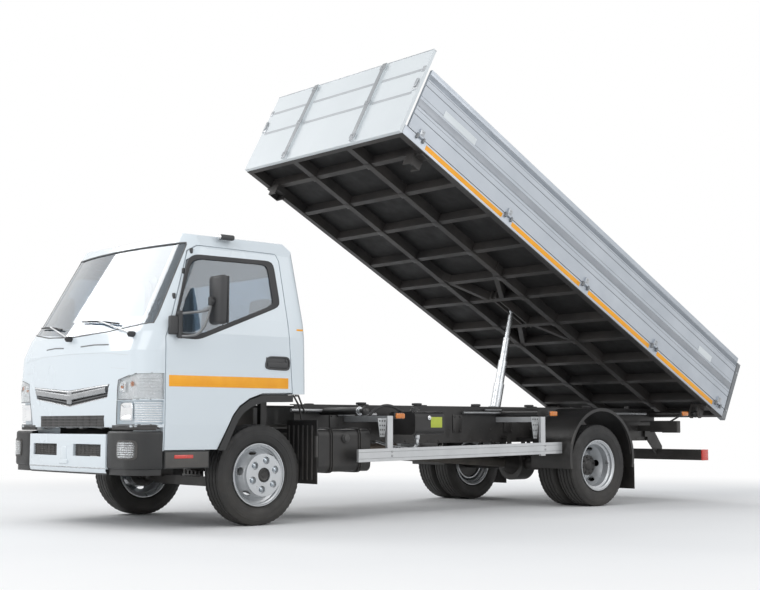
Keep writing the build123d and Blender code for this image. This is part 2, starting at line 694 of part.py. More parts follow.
# ---------------------------------------------------------------- powertrain
def powertrain():
    """Engine and gearbox as plain blocks, and the propeller shaft."""
    nose_y = WHEELBASE - 150 - DIFF_NOSE[2] / 2
    gearbox_y = GEARBOX[1][1]
    shaft = rod(SHAFT_R, (0, gearbox_y - 10, SHAFT_Z), (0, nose_y + 10, AXLE_Z + 10))
    shaft = shaft & box((-100, 100), (gearbox_y, nose_y), (300, 700))
    return group(fused(box(*ENGINE), box(*GEARBOX)), shaft)


def exhaust():
    """Silencer under the right rail, its inlet and tail pipe."""
    r, x, y, z = SILENCER
    inlet = rod(PIPE_R, (x, y[0] + 5, z), (-330, 1120, 540))
    tail = rod_y(PIPE_R, x, (y[1] - 5, 2700), z)
    hangers = [box((-RAIL_OUT, x), about(yy, 15), (640, 665)) for yy in (1600, 2100)]
    return fused(rod_y(r, x, y, z), inlet, tail, *hangers)


# ---------------------------------------------------------------- bed
SIDE_OUT = BED_HALF - SIDE_IN
HINGE_X = BED_HALF + SIDE_HINGE_OUT
HINGE_Z = BED_Z + SIDE_HINGE_V
TAIL_U = (BED_LEN + TAIL_GAP_U, BED_LEN + TAIL_GAP_U + TAIL_T)
TAIL_PIN_Y = BED_FRONT_Y + (TAIL_U[0] + TAIL_U[1]) / 2


def bed_frame():
    """Black grid under the bed: edge rails, two long beams, cross members and braces."""
    half, top = BED_HALF, BED_FLOOR_V
    parts = []
    for side in (1, -1):
        for x in ((half - EDGE_W, half), BEAM_X):
            parts.append(bed_box((side * x[0], side * x[1]), (0, BED_LEN), (0, top)))
    for u in BED_CROSS_U:
        parts.append(bed_box(about(0, half - 20), about(u, BED_CROSS_W / 2), (6, top)))
    for u in (20, BED_LEN - 20):
        parts.append(bed_box(about(0, half), about(u, 20), (0, top)))
    for side in (1, -1):
        for u, near, far in (((2050, 2560), 380, 60), ((3060, 3520), 60, 380)):
            y = bed_y(u)
            parts.append(prism_z([(side * near, y[0]), (side * (near + BRACE_W), y[0]),
                                  (side * (far + BRACE_W), y[1]), (side * far, y[1])],
                                 (BED_Z + 8, BED_Z + top)))
        inner, thick, reach = CHEEK
        parts.append(bed_box((side * inner, side * (inner + thick)), about(HOIST_PIN_UV[0], reach), (8, top)))
        parts.append(ball_socket(side))
        parts.append(rear_hinge(side))
    return tipped(fused(*parts))


def ball_socket(side):
    """Open-bottomed cup that drops over a front ball, on a bracket under the edge rail."""
    y, z = FRONT_BALL_Y, PIVOT_Z
    cup = box(about(side * BALL_X, 52), about(y, 58), (z - 10, BED_Z + 5))
    cup = cup - box((side * (BALL_X - 80), side * (BALL_X + 42)), about(y, 46), (z - 30, z + 42))
    return cup + box((side * (BALL_X - 52), side * (BED_HALF - 10)), about(y, 45), (BED_Z - 18, BED_Z + 5))


def rear_hinge(side):
    """Two cheeks that hold the rear ball of the sub-frame between them."""
    y, z = PIVOT_Y, PIVOT_Z
    inner = BALL_X - BALL_R - 22
    parts = [box((side * inner, side * (BED_HALF - 10)), about(y, 42), (BED_Z - 24, BED_Z + 5))]
    for x in (inner, BALL_X + BALL_R + 6):
        span = (side * x, side * (x + 16))
        parts.append(box(span, about(y, 42), (z, BED_Z + 20)) + rod_x(42, span, y, z))
    return fused(*parts) - rod_x(BALL_NECK_R + RUN_GAP, (side * (BALL_X - 90), side * (BALL_X + 90)), y, z)


def bed_floor():
    """Floor plate on the grid."""
    v = (BED_FLOOR_V, BED_FLOOR_V + BED_FLOOR_T)
    return tipped(bed_box(about(0, BED_HALF - SIDE_T - 12), (0, BED_LEN), v))


def headboard():
    """Fixed front wall with its two ribs."""
    wall = bed_box(about(0, BED_HALF), (-HEAD_T, 0), HEAD_V)
    width, out = HEAD_RIB
    for x in HEAD_RIB_X:
        wall = wall + bed_box(about(x, width / 2), (-HEAD_T - out, -HEAD_T + 4),
                              (HEAD_V[0] + 6, HEAD_V[1] - 12))
    return tipped(wall)


def drop_side():
    """Left side wall in planks, hung on hinges along its lower edge."""
    wall = bed_box((SIDE_OUT - SIDE_T, SIDE_OUT), SIDE_U, SIDE_V)
    for v in SIDE_GROOVE_V:
        wall = wall - bed_box((SIDE_OUT - 4, SIDE_OUT + 5), (SIDE_U[0] - 5, SIDE_U[1] + 5), about(v, 4))
    foot = SIDE_V[0]
    for u in SIDE_HINGE_U:
        span = about(u, EYE_HALF)
        strap = bed_box((SIDE_OUT - 6, HINGE_X + 4), span, (foot + 4, foot + 60))
        joint = bed_box(about(HINGE_X, 4), span, (SIDE_HINGE_V, foot + 10))
        wall = wall + strap + joint + rod_y(SIDE_EYE_R, HINGE_X, bed_y(span), HINGE_Z)
        wall = wall - rod_y(SIDE_PIN_R + RUN_GAP, HINGE_X, bed_y(about(u, LUG_AT)), HINGE_Z)
    return tipped(wall)


def side_hinges():
    """Pins and pairs of lugs on the left edge rail that carry the drop side."""
    parts = []
    for u in SIDE_HINGE_U:
        pin = rod_y(SIDE_PIN_R, HINGE_X, bed_y(about(u, LUG_AT + LUG_T / 2)), HINGE_Z)
        for at in about(u, LUG_AT):
            span = about(at, LUG_T / 2)
            pin = pin + bed_box((BED_HALF, HINGE_X + SIDE_EYE_R), span, (60, SIDE_HINGE_V))
            pin = pin + rod_y(SIDE_EYE_R, HINGE_X, bed_y(span), HINGE_Z)
        parts.append(pin)
    return parts


def tailgate():
    """Top-hung rear gate between the end posts."""
    gate = bed_box(about(0, BED_HALF - TAIL_SIDE_GAP), TAIL_U, TAIL_V)
    z = BED_Z + TAIL_HINGE_V
    inset, half = TAIL_ARM
    for side in (1, -1):
        x = side * (BED_HALF - inset)
        gate = gate + bed_box(about(x, half), TAIL_U, (TAIL_V[1] - 5, TAIL_HINGE_V))
        gate = gate + rod_x(16, about(x, half), TAIL_PIN_Y, z)
        gate = gate - rod_x(TAIL_PIN_R + RUN_GAP, about(x, 20), TAIL_PIN_Y, z)
    return tipped(gate)


def end_posts():
    """Posts at the rear corners: they carry the tailgate's pins."""
    u = (SIDE_U[1] + POST_U[0], SIDE_U[1] + POST_U[1])
    outer = BED_HALF - 2
    post = bed_box((outer - POST_W, outer), u, (0, POST_TOP_V))
    foot = bed_box((BED_HALF - EDGE_W, outer), (BED_LEN, u[1]), (0, 60))
    pin = rod_x(TAIL_PIN_R, (BED_HALF - 90, BED_HALF - 20), TAIL_PIN_Y, BED_Z + TAIL_HINGE_V)
    return tipped(group(*both(fused(post, foot, pin))))


# ---------------------------------------------------------------- hoist
def hoist_parts():
    """Telescopic hoist: tube on trunnions, four stages, a ball on the last."""
    by, bz = HOIST_BASE
    ty, tz = bed_point(*HOIST_PIN_UV)
    length = sqrt((ty - by) ** 2 + (tz - bz) ** 2)
    lean = degrees(atan2(ty - by, tz - bz))
    bottom, top = HOIST_TUBE
    neck_r, neck = HOIST_NECK
    stroke = (length - top - neck) / HOIST_STAGES

    def stand(shape):
        return Pos(0, by, bz) * Rot(-lean, 0, 0) * shape

    def pipe(i, z):
        """Pipe i, closed at its foot and bored for the next one."""
        whole = rod_z(HOIST_RADII[i], 0, 0, z)
        if i < HOIST_STAGES:
            whole = whole - rod_z(HOIST_RADII[i + 1] + HOIST_GAP, 0, 0, (z[0] + HOIST_FLOOR, z[1] + 5))
        return whole

    large = HOIST_RADII[0]
    tube = pipe(0, (bottom, top))
    tube = tube + (rod_z(large + 9, 0, 0, (top - 45, top - 6)) - rod_z(large - 2, 0, 0, (top - 50, top)))
    for side in (1, -1):
        tube = tube + rod_x(TRUNNION_R, (side * (large - 4), side * (large + 60)), 0, 0)
    parts = [stand(tube)]
    for i in range(1, HOIST_STAGES + 1):
        low = bottom + HOIST_FLOOR + 2 + i * stroke + (HOIST_FLOOR + 1) * (i - 1)
        high = top + i * stroke
        stage = pipe(i, (low, high))
        if i == HOIST_STAGES:
            stage = stage + rod_z(neck_r, 0, 0, (high - 2, high + neck))
            stage = stage + Pos(0, 0, length) * Sphere(HOIST_BALL_R)
        parts.append(stand(stage))
    return parts


# ---------------------------------------------------------------- cab
def cab_section(row, t):
    """One level of the cab's skin, moved in by t: bowed front and round corners."""
    z, front, bow, half, r, back = row
    half, back, r, front = half - t, back - t, max(r - t, 30), front + t
    rear_r = max(CAB_REAR_R - t, 20)
    lag = front + bow
    x, y = half - r, lag + r
    s = sin(radians(45)) * r
    q = sin(radians(45)) * rear_r
    with BuildLine() as line:
        a = ThreePointArc((-x, lag, z), (0, front, z), (x, lag, z))
        b = ThreePointArc(a @ 1, (x + s, y - s, z), (half, y, z))
        c = Line(b @ 1, (half, back - rear_r, z))
        d = ThreePointArc(c @ 1, (half - rear_r + q, back - rear_r + q, z), (half - rear_r, back, z))
        e = Line(d @ 1, (-half + rear_r, back, z))
        f = ThreePointArc(e @ 1, (-half + rear_r - q, back - rear_r + q, z), (-half, back - rear_r, z))
        g = Line(f @ 1, (-half, y, z))
        ThreePointArc(g @ 1, (-x - s, y - s, z), a @ 0)
    return Face(line.wire())


def roof_cut(t):
    """What lies under the roof: the side-view curve and the cross crown together."""
    (y0, z0), (y1, z1), (y2, z2), (y3, z3), (y4, z4) = ROOF_SIDE
    with BuildSketch(Plane.YZ) as side:
        with BuildLine():
            a = Line((y0 - 900, 300), (y0 - 900, z0 - 420))
            b = Line(a @ 1, (y0, z0 - t))
            c = Line(b @ 1, (y1, z1 - t))
            d = ThreePointArc(c @ 1, (y2, z2 - t), (y3, z3 - t))
            e = Line(d @ 1, (y4, z4 - t))
            f = Line(e @ 1, (y4 + 60, z4 - 200))
            g = Line(f @ 1, (y4 + 200, 300))
            Line(g @ 1, a @ 0)
        make_face()
    half, (foot, gutter, shoulder, crown) = ROOF_HALF, ROOF_FRONT_Z
    with BuildSketch(Plane.XZ) as front:
        with BuildLine():
            a = Line((-half - 200, 300), (-half - 200, foot))
            b = Line(a @ 1, (-half - 4, gutter - t))
            c = Line(b @ 1, (-half + 60, shoulder - t))
            d = ThreePointArc(c @ 1, (0, crown - t), (half - 60, shoulder - t))
            e = Line(d @ 1, (half + 4, gutter - t))
            f = Line(e @ 1, (half + 200, foot))
            g = Line(f @ 1, (half + 200, 300))
            Line(g @ 1, a @ 0)
        make_face()
    return extrude(side.sketch, amount=1300, both=True) & extrude(front.sketch, amount=1600, both=True)


def cab_volume(t):
    """Everything inside the cab's skin moved in by t."""
    return loft([cab_section(row, t) for row in CAB_SECTIONS], ruled=True) & roof_cut(t)


WIDE = (-1100, 1100)     # across and past the cab
AHEAD_Y = -1300          # in front of the cab
LEFT_X = (DOOR_X, 1100)  # through the left door
ARCH_SIDE = ((ARCH[0][0], 400), *ARCH, (ARCH[-1][0], 400))
# what is opened under a door as well: y, z of the space between it and the wheel arch
DOOR_FOOT = ((-889, 540), (-889, 600), (-415, 600), (-285, 850), (-228, 915), (-140, 970), (-20, 1008),
             (262, 1016), (262, 540))


def cab_below():
    """Space under the cab: wheel arches, the frame's tunnel and the bumper's height."""
    half, top = ENGINE_TUNNEL
    tunnel = box(about(0, TUNNEL_HALF), (TUNNEL_FRONT_Y, 500), (400, TUNNEL_Z))
    tunnel = tunnel + box(about(0, half), (-420, 500), (400, top))
    front = box(WIDE, (AHEAD_Y, LAMP_BACK_Y), (400, CAB_FRONT_FOOT_Z))
    low = box(WIDE, (AHEAD_Y, 500), (400, CAB_FOOT_Z))
    return fused(prism_x(ARCH_SIDE, WIDE), tunnel, front, low,
                 *both(box((TUNNEL_HALF - 1, 940), (-500, -430), (400, 900))))


def cab_room():
    """Hollow inside: seat level at the back, footwell in front, step wells at the doors."""
    back = box(WIDE, (-400, 600), (FLOOR_Z, 2400))
    front = box(WIDE, (AHEAD_Y, -399), (TUNNEL_Z + 40, 2400))
    step = both(box((620, 1100), (-850, -520), (620, TUNNEL_Z + 41)))
    return cab_volume(CAB_WALL) & fused(back, front, *step)


def grille_face(low, high):
    """Winged outline of the grille between two shares of its height."""
    ends = []
    for share in (low, high):
        half = GRILLE_HALF[1] + (GRILLE_HALF[0] - GRILLE_HALF[1]) * share
        z = GRILLE_Z[0] + (GRILLE_Z[1] - GRILLE_Z[0]) * share
        dip = GRILLE_DIP[0] + (GRILLE_DIP[1] - GRILLE_DIP[0]) * share
        ends.append(((-half, z), (0, z - dip), (half, z)))
    return (*ends[0], *reversed(ends[1]))


def intake_face(low, high):
    """Outline of the lower intake between two shares of its height."""
    (foot, top), (narrow_z, wide_z) = reversed(INTAKE_HALF), INTAKE_Z
    ends = []
    for share in (low, high):
        half, z = foot + (top - foot) * share, narrow_z + (wide_z - narrow_z) * share
        ends.append(((-half, z), (half, z)))
    return (*ends[0], *reversed(ends[1]))


def grille():
    """Dark bars across the grille and the lower intake, each on its own backing."""
    bars = [prism_y(grille_face(a, b), (AHEAD_Y, GRILLE_BACK[0]))
            for a, b in ((0, 0.10), (0.20, 0.28), (0.38, 0.46), (0.58, 1))]
    slats = [prism_y(intake_face(a, b), (AHEAD_Y, INTAKE_BACK[0]))
             for a, b in ((0, 0.16), (0.42, 0.58), (0.84, 1))]
    skin = cab_volume(GRILLE_SINK)
    upper = fused(prism_y(grille_face(0, 1), GRILLE_BACK), *[bar & skin for bar in bars])
    lower = fused(prism_y(intake_face(0, 1), INTAKE_BACK), *[slat & skin for slat in slats])
    return group(upper, lower)


def cab_parts():
    """Shell, left door, fixed panes, left door's pane and headlamps."""
    whole = cab_volume(0)
    shell = whole - cab_below() - cab_room()
    skin_back = cab_volume(DOOR_SKIN)
    rebate_back = cab_volume(DOOR_SKIN + DOOR_SEAL)
    window = prism_x(DOOR_WINDOW, LEFT_X)
    leaf_outline = prism_x(DOOR, LEFT_X, -DOOR_LAP) + (prism_x(DOOR, LEFT_X) - skin_back)
    door = (shell & leaf_outline) - window - cab_volume(CAB_WALL)
    opening = fused(prism_x(DOOR, LEFT_X, -DOOR_GAP), prism_x(DOOR, LEFT_X, DOOR_GAP) - rebate_back,
                    prism_x(DOOR_FOOT, LEFT_X)) - cab_volume(CAB_WALL + DOOR_GAP)
    screen_hole = prism_y(WINDSCREEN, (AHEAD_Y, -540))
    half, foot, top = REAR_WINDOW
    rear_hole = box(about(0, half), (250, 520), (foot, top))
    lamp_layer = (whole - cab_volume(LAMP_T)) & box(WIDE, (AHEAD_Y, LAMP_BACK_Y), (400, 2000))
    lamps = group(*[lamp_layer & piece for points in (UPPER_LAMP, LOWER_LAMP)
                    for piece in both(prism_y(points, (AHEAD_Y, LAMP_BACK_Y)))])
    body = shell - fused(*both(opening)) - screen_hole - rear_hole
    body = body - prism_y(grille_face(0, 1), (AHEAD_Y, -1050))
    body = body - prism_y(intake_face(0, 1), (AHEAD_Y, INTAKE_BACK[1]))
    for lamp in lamps.solids():
        body = body - lamp
    y, z = CAB_HINGE
    for side in (1, -1):
        lug = box((side * 402, side * 440), (y - 22, y + 60), (z - 22, TUNNEL_Z + 10))
        pin = rod_x(CAB_PIN_R, (side * 322, side * 420), y, z)
        foot_pad = box((side * 335, side * 395), (CAB_REST_Y[0], 412), (CAB_REST_Z - 5, 1010))
        body = fused(body, lug, pin, foot_pad)
    pane = cab_volume(GLASS_INSET) - cab_volume(GLASS_INSET + GLASS_T)
    return body, door, group(pane & screen_hole, pane & rear_hole), pane & window, lamps


def cab_lower_trim():
    """Left wheel arch lip and the step box under the door."""
    def band(near, far, x, low):
        ring = prism_x(ARCH_SIDE, x, -near) - prism_x(ARCH_SIDE, (x[0] - 1, x[1] + 1), -far)
        return ring & box(WIDE, (-600, FLARE_END_Y), (low, 1100))

    liner_x, liner_low, liner_t = LINER
    flare = band(DOOR_GAP, FLARE_W, FLARE_X, CAB_FOOT_Z) + band(0, liner_t, liner_x, liner_low)
    step = box(*STEP_BOX)
    (x0, x1), (y0, y1), (z0, z1) = STEP_BOX
    return flare, step - box((x0 + 30, x1 - 30), (y0 + 20, y1 - 20), (z0 + 52, z1 + 25))


def dashboard():
    """Moulded shelf between the doors with the steering column through it."""
    block = prism_x(DASH, about(0, DASH_HALF)) & cab_volume(CAB_WALL)
    r, length = COLUMN
    return block + Pos(STEER_X, *STEER_C) * Rot(-STEER_TILT, 0, 0) * rod_z(r, 0, 0, (-length, -24))


def seats():
    """Driver's seat and a double seat, each a cushion and a back on the cab's platform."""
    parts = []
    for x0, x1 in SEATS_X:
        for points, inset in ((SEAT_CUSHION, 0), (SEAT_BACK, 10)):
            outline = [(y, z + SEAT_GAP) for y, z in points]
            parts.append(prism_x(outline, (x0 + inset, x1 - inset), radius=SEAT_ROUND))
    return group(*parts)


def steering_wheel():
    """Rim, two spokes and hub on the column's end."""
    ring = Torus(*STEER_RING)
    bars = Box(390, 34, 16) + Pos(0, -100, 0) * Box(34, 200, 16)
    return Pos(STEER_X, *STEER_C) * Rot(-STEER_TILT, 0, 0) * (ring + Cylinder(*STEER_HUB) + bars)


def mirror_set():
    """Left mirror: foot on the door, two arms and the head."""
    foot = prism_x(MIRROR_FOOT, (940, 1045)) - cab_volume(0)
    arms = [rod(MIRROR_ARM_R, *ends) for a, b, c in MIRROR_ARMS for ends in ((a, b), (b, c))]
    head = fillet(box(*MIRROR_HEAD).edges(), 18)
    return fused(foot, *arms, head)


# ---------------------------------------------------------------- bumper
def bumper_skin(t, z):
    """Bowed bar with round corners, moved in by t."""
    row = (z[0], BUMPER_FRONT, BUMPER_BOW, BUMPER_HALF, BUMPER_CORNER_R, -600)
    return extrude(cab_section(row, t), amount=z[1] - z[0], dir=(0, 0, 1))


def bumper_ring(near, far, z):
    """Front of the bumper between two depths, from z[0] to z[1]."""
    whole = bumper_skin(near, z) - bumper_skin(far, (z[0] - 5, z[1] + 5))
    return whole & box(WIDE, (AHEAD_Y, LAMP_BACK_Y), (300, 800))


def bumper_parts():
    """White middle with its stays, dark corners with the lip below, left fog lamp."""
    shell = bumper_ring(0, BUMPER_T, BUMPER_Z)
    middle = shell & box(about(0, BUMPER_SPLIT_X - 2), (AHEAD_Y, -1000), (300, 800))
    for slot in both(box(BUMPER_SLOTS_X, (AHEAD_Y, -1000), BUMPER_SLOTS_Z)):
        middle = middle - slot
    middle = fused(middle, *both(box(STAY[0], (-1126, RAIL_Y[0]), STAY[1])))
    right_of = box((BUMPER_SPLIT_X, WIDE[1]), (AHEAD_Y, -800), (300, 800))
    x, z = FOG_AT
    corner = (shell & right_of) + (bumper_ring(0, CORNER_RISE_T, (BUMPER_Z[1] - 5, CORNER_TOP_Z)) & right_of)
    corner = corner - rod_y(FOG_R, x, (AHEAD_Y, -900), z)
    corner = corner + box((BUMPER_SPLIT_X - 2, BUMPER_SPLIT_X + 50), (-1118, -1095), (480, 660))
    lip = bumper_ring(LIP_IN, BUMPER_T + 10, (LIP_Z, BUMPER_Z[0]))
    lamp = rod_y(FOG_R - 1, x, (-1142, -1080), z) + box(about(x, 35), (-1100, -1050), about(z, 20))
    return middle, fused(lip, *both(corner)), lamp


# ---------------------------------------------------------------- chassis fittings
def fuel_tank():
    """Black tank on the left rail."""
    tank = fillet(box(*FUEL_TANK).edges().filter_by(Axis.Y), 55)
    return fused(tank, *[box((RAIL_OUT, 475), about(y, 25), (620, 700)) for y in (720, 1040)])


def oil_tank():
    """Hydraulic box on the left rail."""
    tank = fillet(box(*OIL_TANK).edges().filter_by(Axis.Y), 45)
    return tank + box((RAIL_OUT, 565), (1780, 1840), (690, 740))


def guard():
    """Left aluminium side rail on two hangers from the sub-frame."""
    (y0, y1), (z0, z1) = GUARD_Y, GUARD_Z
    whole = prism_x([(y0, z0), (y1, z0 + GUARD_SLOPE), (y1, z1 + GUARD_SLOPE), (y0, z1)], GUARD_X)
    for y in GUARD_POST_Y:
        whole = whole + box((GUARD_X[0] - 25, GUARD_X[0] + 1), about(y, 30), (z0 + 20, GUARD_ARM_Z[1]))
        whole = whole + box((RAIL_OUT, GUARD_X[0] + 1), about(y, 25), GUARD_ARM_Z)
    return whole


def rear_mudguard():
    """Left rear mudguard: arch over the twins, stays and a hanging flap."""
    y, z = WHEELBASE + MUD_AT[0], AXLE_Z + MUD_AT[1]
    inner, outer = MUD_X
    upper = box((500, 1200), about(y, 600), (z - 95, z + 600))
    ring = (rod_x(MUD_R, MUD_X, y, z) - rod_x(MUD_R - MUD_T, (inner - 5, outer + 5), y, z)) & upper
    lip = rod_x(MUD_R, (outer - MUD_T, outer), y, z) - rod_x(MUD_R - MUD_LIP, (outer - 10, outer + 5), y, z)
    flap = box((inner + 20, outer), (y + MUD_R - 8, y + MUD_R), (FLAP_FOOT_Z, z - 60))
    stays = [box((RAIL_OUT, inner + 60), about(yy, 14), about(z + MUD_STAY_Z, 14)) for yy in about(y, 444)]
    return fused(ring, lip & upper, flap, *stays)


def front_flap():
    """Left flap behind the front wheel."""
    x, y = FRONT_FLAP[:2]
    return box(*FRONT_FLAP) + box((RAIL_OUT, x[0] + 30), (y[0], y[0] + 20), (700, 730))


def underrun():
    """Rear guard bar on two arms from the frame."""
    parts = [box(*UNDERRUN)]
    for arm in both(prism_x(UNDERRUN_ARM, (RAIL_OUT + 5, RAIL_OUT + 25))):
        parts.append(arm)
    for plate in both(box((RAIL_OUT, RAIL_OUT + 26), UNDERRUN_FOOT, (640, 700))):
        parts.append(plate)
    return fused(*parts)


def rear_lamps():
    """Lamp clusters on brackets behind the rear wheels."""
    return group(*both(box(*REAR_LAMP) + box((RAIL_OUT, REAR_LAMP[0][0] + 10), *REAR_LAMP_STAY)))


# ---------------------------------------------------------------- all pieces
def build():
    """Every sub-part by its node name."""
    keep("frame_rails", group(*both(channel(RAIL_FLANGE, RAIL_Y, RAIL_Z))))
    keep("frame_cross_members", frame_cross_members())
    keep("sub_rails", sub_rails())
    keep("sub_cross_members", sub_cross_members())
    keep("front_axle", front_axle())
    keep("rear_axle", rear_axle())
    keep("leaf_springs", group(*both(leaf_pack(0, FRONT_SPRING_Z, FRONT_SPRING)),
                               *both(leaf_pack(WHEELBASE, REAR_SPRING_Z, REAR_SPRING))))
    keep("powertrain", powertrain())
    keep("exhaust", exhaust())
    keep("fuel_tank", fuel_tank())
    keep("oil_tank", oil_tank())
    keep("side_guards", group(*both(guard())))
    keep("mudguards", group(*both(rear_mudguard()), *both(front_flap())))
    keep("underrun_bar", underrun())
    keep("rear_lamps", rear_lamps())
    middle, corners, fog = bumper_parts()
    keep("bumper", middle)
    keep("bumper_corners", corners)
    keep("fog_lamps", group(*both(fog)))

    body, door, panes, door_glass, lamps = cab_parts()
    keep("cab_shell", body)
    keep("cab_glass", panes)
    keep("headlamps", lamps)
    keep("grille", grille())
    keep("cab_lower_trim", group(*[piece for part in cab_lower_trim() for piece in both(part)]))
    keep("dashboard", dashboard())
    keep("seats", seats())
    keep("steering_wheel", steering_wheel())
    for name, shape in (("door", door), ("door_glass", door_glass), ("mirror", mirror_set()),
                        ("knuckle", knuckle())):
        keep(name + "_left", shape)
        keep(name + "_right", mirror_x(shape))
    keep("tie_rod", tie_rod())
    front = tyre(WHEEL_X, 0)
    rear = [tyre(WHEEL_X + side * TWIN_PITCH / 2, WHEELBASE) for side in (1, -1)]
    for wheel, rubber, end, y in ((front_wheel, [front], "_front", 0),
                                  (rear_wheels, rear, "s_rear", WHEELBASE)):
        keep(f"wheel{end}_left", clocked(wheel(STUD_R[0]), y))
        keep(f"tyre{end}_left", group(*rubber))
        keep(f"wheel{end}_right", mirror_x(clocked(wheel(STUD_R[1]), y)))
        keep(f"tyre{end}_right", group(*[mirror_x(one) for one in rubber]))

    keep("bed_frame", bed_frame())
    keep("bed_hinges", tipped(group(*[piece for pin in side_hinges() for piece in both(pin)])))
    keep("bed_floor", bed_floor())
    keep("headboard", headboard())
    keep("end_posts", end_posts())
    side = drop_side()
    keep("drop_side_left", side)
    keep("drop_side_right", mirror_x(side))
    keep("tailgate", tailgate())
    for i, shape in enumerate(hoist_parts()):
        keep(f"hoist_stage_{i}" if i else "hoist_tube", shape)


build()
whole_box = group(*EXPORT.values()).bounding_box()
shift = Pos(0, -whole_box.center().Y, 0)
print("origin moved along Y by", round(-whole_box.center().Y, 3), "size", whole_box.size)
os.makedirs("parts", exist_ok=True)
for name, shape in EXPORT.items():
    export_step(shift * shape, f"parts/{name}.step")
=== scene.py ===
"""Looks of the tipper truck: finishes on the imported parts, and the trim and small
parts that sit on them. Metres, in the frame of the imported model."""

import json
from math import cos, pi, radians, sin, tau

import bpy
from mathutils import Matrix, Vector


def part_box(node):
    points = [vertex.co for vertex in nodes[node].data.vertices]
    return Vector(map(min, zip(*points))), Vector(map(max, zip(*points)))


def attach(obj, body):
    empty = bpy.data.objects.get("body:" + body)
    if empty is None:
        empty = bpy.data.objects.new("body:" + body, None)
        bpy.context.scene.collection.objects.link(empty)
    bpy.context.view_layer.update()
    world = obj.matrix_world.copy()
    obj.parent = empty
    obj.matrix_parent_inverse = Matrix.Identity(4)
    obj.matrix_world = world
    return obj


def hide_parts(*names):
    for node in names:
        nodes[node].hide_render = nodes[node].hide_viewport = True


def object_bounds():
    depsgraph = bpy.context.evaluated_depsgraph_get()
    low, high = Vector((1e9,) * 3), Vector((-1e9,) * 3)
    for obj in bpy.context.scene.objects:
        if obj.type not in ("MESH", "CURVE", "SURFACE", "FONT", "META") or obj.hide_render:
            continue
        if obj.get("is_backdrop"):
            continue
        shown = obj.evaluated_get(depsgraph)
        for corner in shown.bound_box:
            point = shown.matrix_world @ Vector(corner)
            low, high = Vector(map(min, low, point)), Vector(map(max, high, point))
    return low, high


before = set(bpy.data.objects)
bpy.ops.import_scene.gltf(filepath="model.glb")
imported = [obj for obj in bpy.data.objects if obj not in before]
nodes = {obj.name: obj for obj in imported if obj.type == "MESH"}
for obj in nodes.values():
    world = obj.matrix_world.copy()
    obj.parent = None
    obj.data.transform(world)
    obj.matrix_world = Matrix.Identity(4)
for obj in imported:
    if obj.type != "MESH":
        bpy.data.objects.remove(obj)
cad_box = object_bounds()

# ---------------------------------------------------------------- camera, floor and lamps
# A studio's white sweep: pale floor that fades into a white backdrop, a broad soft
# light in front of the cab, a weaker one at its left side, and a bright sky.
low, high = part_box("tyre_front_left")
AXLE = (low[1] + high[1]) / 2               # the front axle, along Y
BEARING, TILT = radians(49.17), radians(-5.69)     # the camera's way back from the truck
back = Vector((sin(BEARING) * cos(TILT), -cos(BEARING) * cos(TILT), sin(TILT)))
camera = bpy.data.objects.new("camera", bpy.data.cameras.new("camera"))
bpy.context.scene.collection.objects.link(camera)
camera.location = (9.1571, AXLE - 5.9256, 0.7562)
camera.rotation_mode = "QUATERNION"
camera.rotation_quaternion = back.to_track_quat("Z", "Y")
camera.data.lens = 62.16
camera.data.sensor_width = 36
camera.data.shift_x = 0.0042
camera.data.clip_end = 200
bpy.context.scene.camera = camera
bpy.context.scene.view_settings.view_transform = "Standard"


def node_tree(material):
    """Emptied node tree of a material or world."""
    material.use_nodes = True
    material.node_tree.nodes.clear()
    return material.node_tree


def shader_node(tree, kind, inputs=None, **settings):
    """One shader node; an input takes a plain value or another node's output."""
    node = tree.nodes.new("ShaderNode" + kind)
    for name, value in settings.items():
        setattr(node, name, value)
    for socket, value in (inputs or {}).items():
        if isinstance(value, bpy.types.NodeSocket):
            tree.links.new(value, node.inputs[socket])
        else:
            node.inputs[socket].default_value = value
    return node


def maths(tree, operation, a, b, **settings):
    """Output of one sum of two outputs or numbers."""
    return shader_node(tree, "Math", {0: a, 1: b}, operation=operation, **settings).outputs[0]


def seen_directly(tree):
    """1 for rays from the camera, in mirrors and through glass."""
    path = shader_node(tree, "LightPath").outputs
    either = maths(tree, "MAXIMUM", path["Is Camera Ray"], path["Is Glossy Ray"])
    return maths(tree, "MAXIMUM", either, path["Is Transmission Ray"])


SKY_LIGHT = 0.55
world = bpy.data.worlds.new("studio")
bpy.context.scene.world = world
tree = node_tree(world)
lit = shader_node(tree, "Background", {"Color": (0.94, 0.97, 1.0, 1), "Strength": SKY_LIGHT})
white = shader_node(tree, "Background", {"Color": (1, 1, 1, 1), "Strength": 1.0})
either = shader_node(tree, "MixShader", {0: seen_directly(tree), 1: lit.outputs[0], 2: white.outputs[0]})
shader_node(tree, "OutputWorld", {0: either.outputs[0]})

bpy.ops.mesh.primitive_circle_add(vertices=96, radius=60, fill_type="NGON", location=(0, 0, 0))
floor = bpy.context.object
floor.name = "floor"
floor_white = bpy.data.materials.new("floor_white")
tree = node_tree(floor_white)
place = shader_node(tree, "TexCoord").outputs["Object"]
reach = shader_node(tree, "VectorMath", {0: place}, operation="LENGTH").outputs["Value"]
fade = shader_node(tree, "MapRange", {"Value": reach, "From Min": 4.5, "From Max": 9.0},
                   interpolation_type="SMOOTHSTEP")
far = maths(tree, "MULTIPLY", fade.outputs[0], seen_directly(tree))
mottle = shader_node(tree, "TexNoise", {"Vector": place, "Scale": 0.8})
tone = shader_node(tree, "ValToRGB", {0: mottle.outputs["Fac"]})
tone.color_ramp.elements[0].color = (0.92, 0.92, 0.925, 1)
tone.color_ramp.elements[1].color = (0.96, 0.96, 0.96, 1)
cloth = shader_node(tree, "BsdfDiffuse", {"Color": tone.outputs[0]})
glow = shader_node(tree, "Emission", {"Color": (1, 1, 1, 1)})
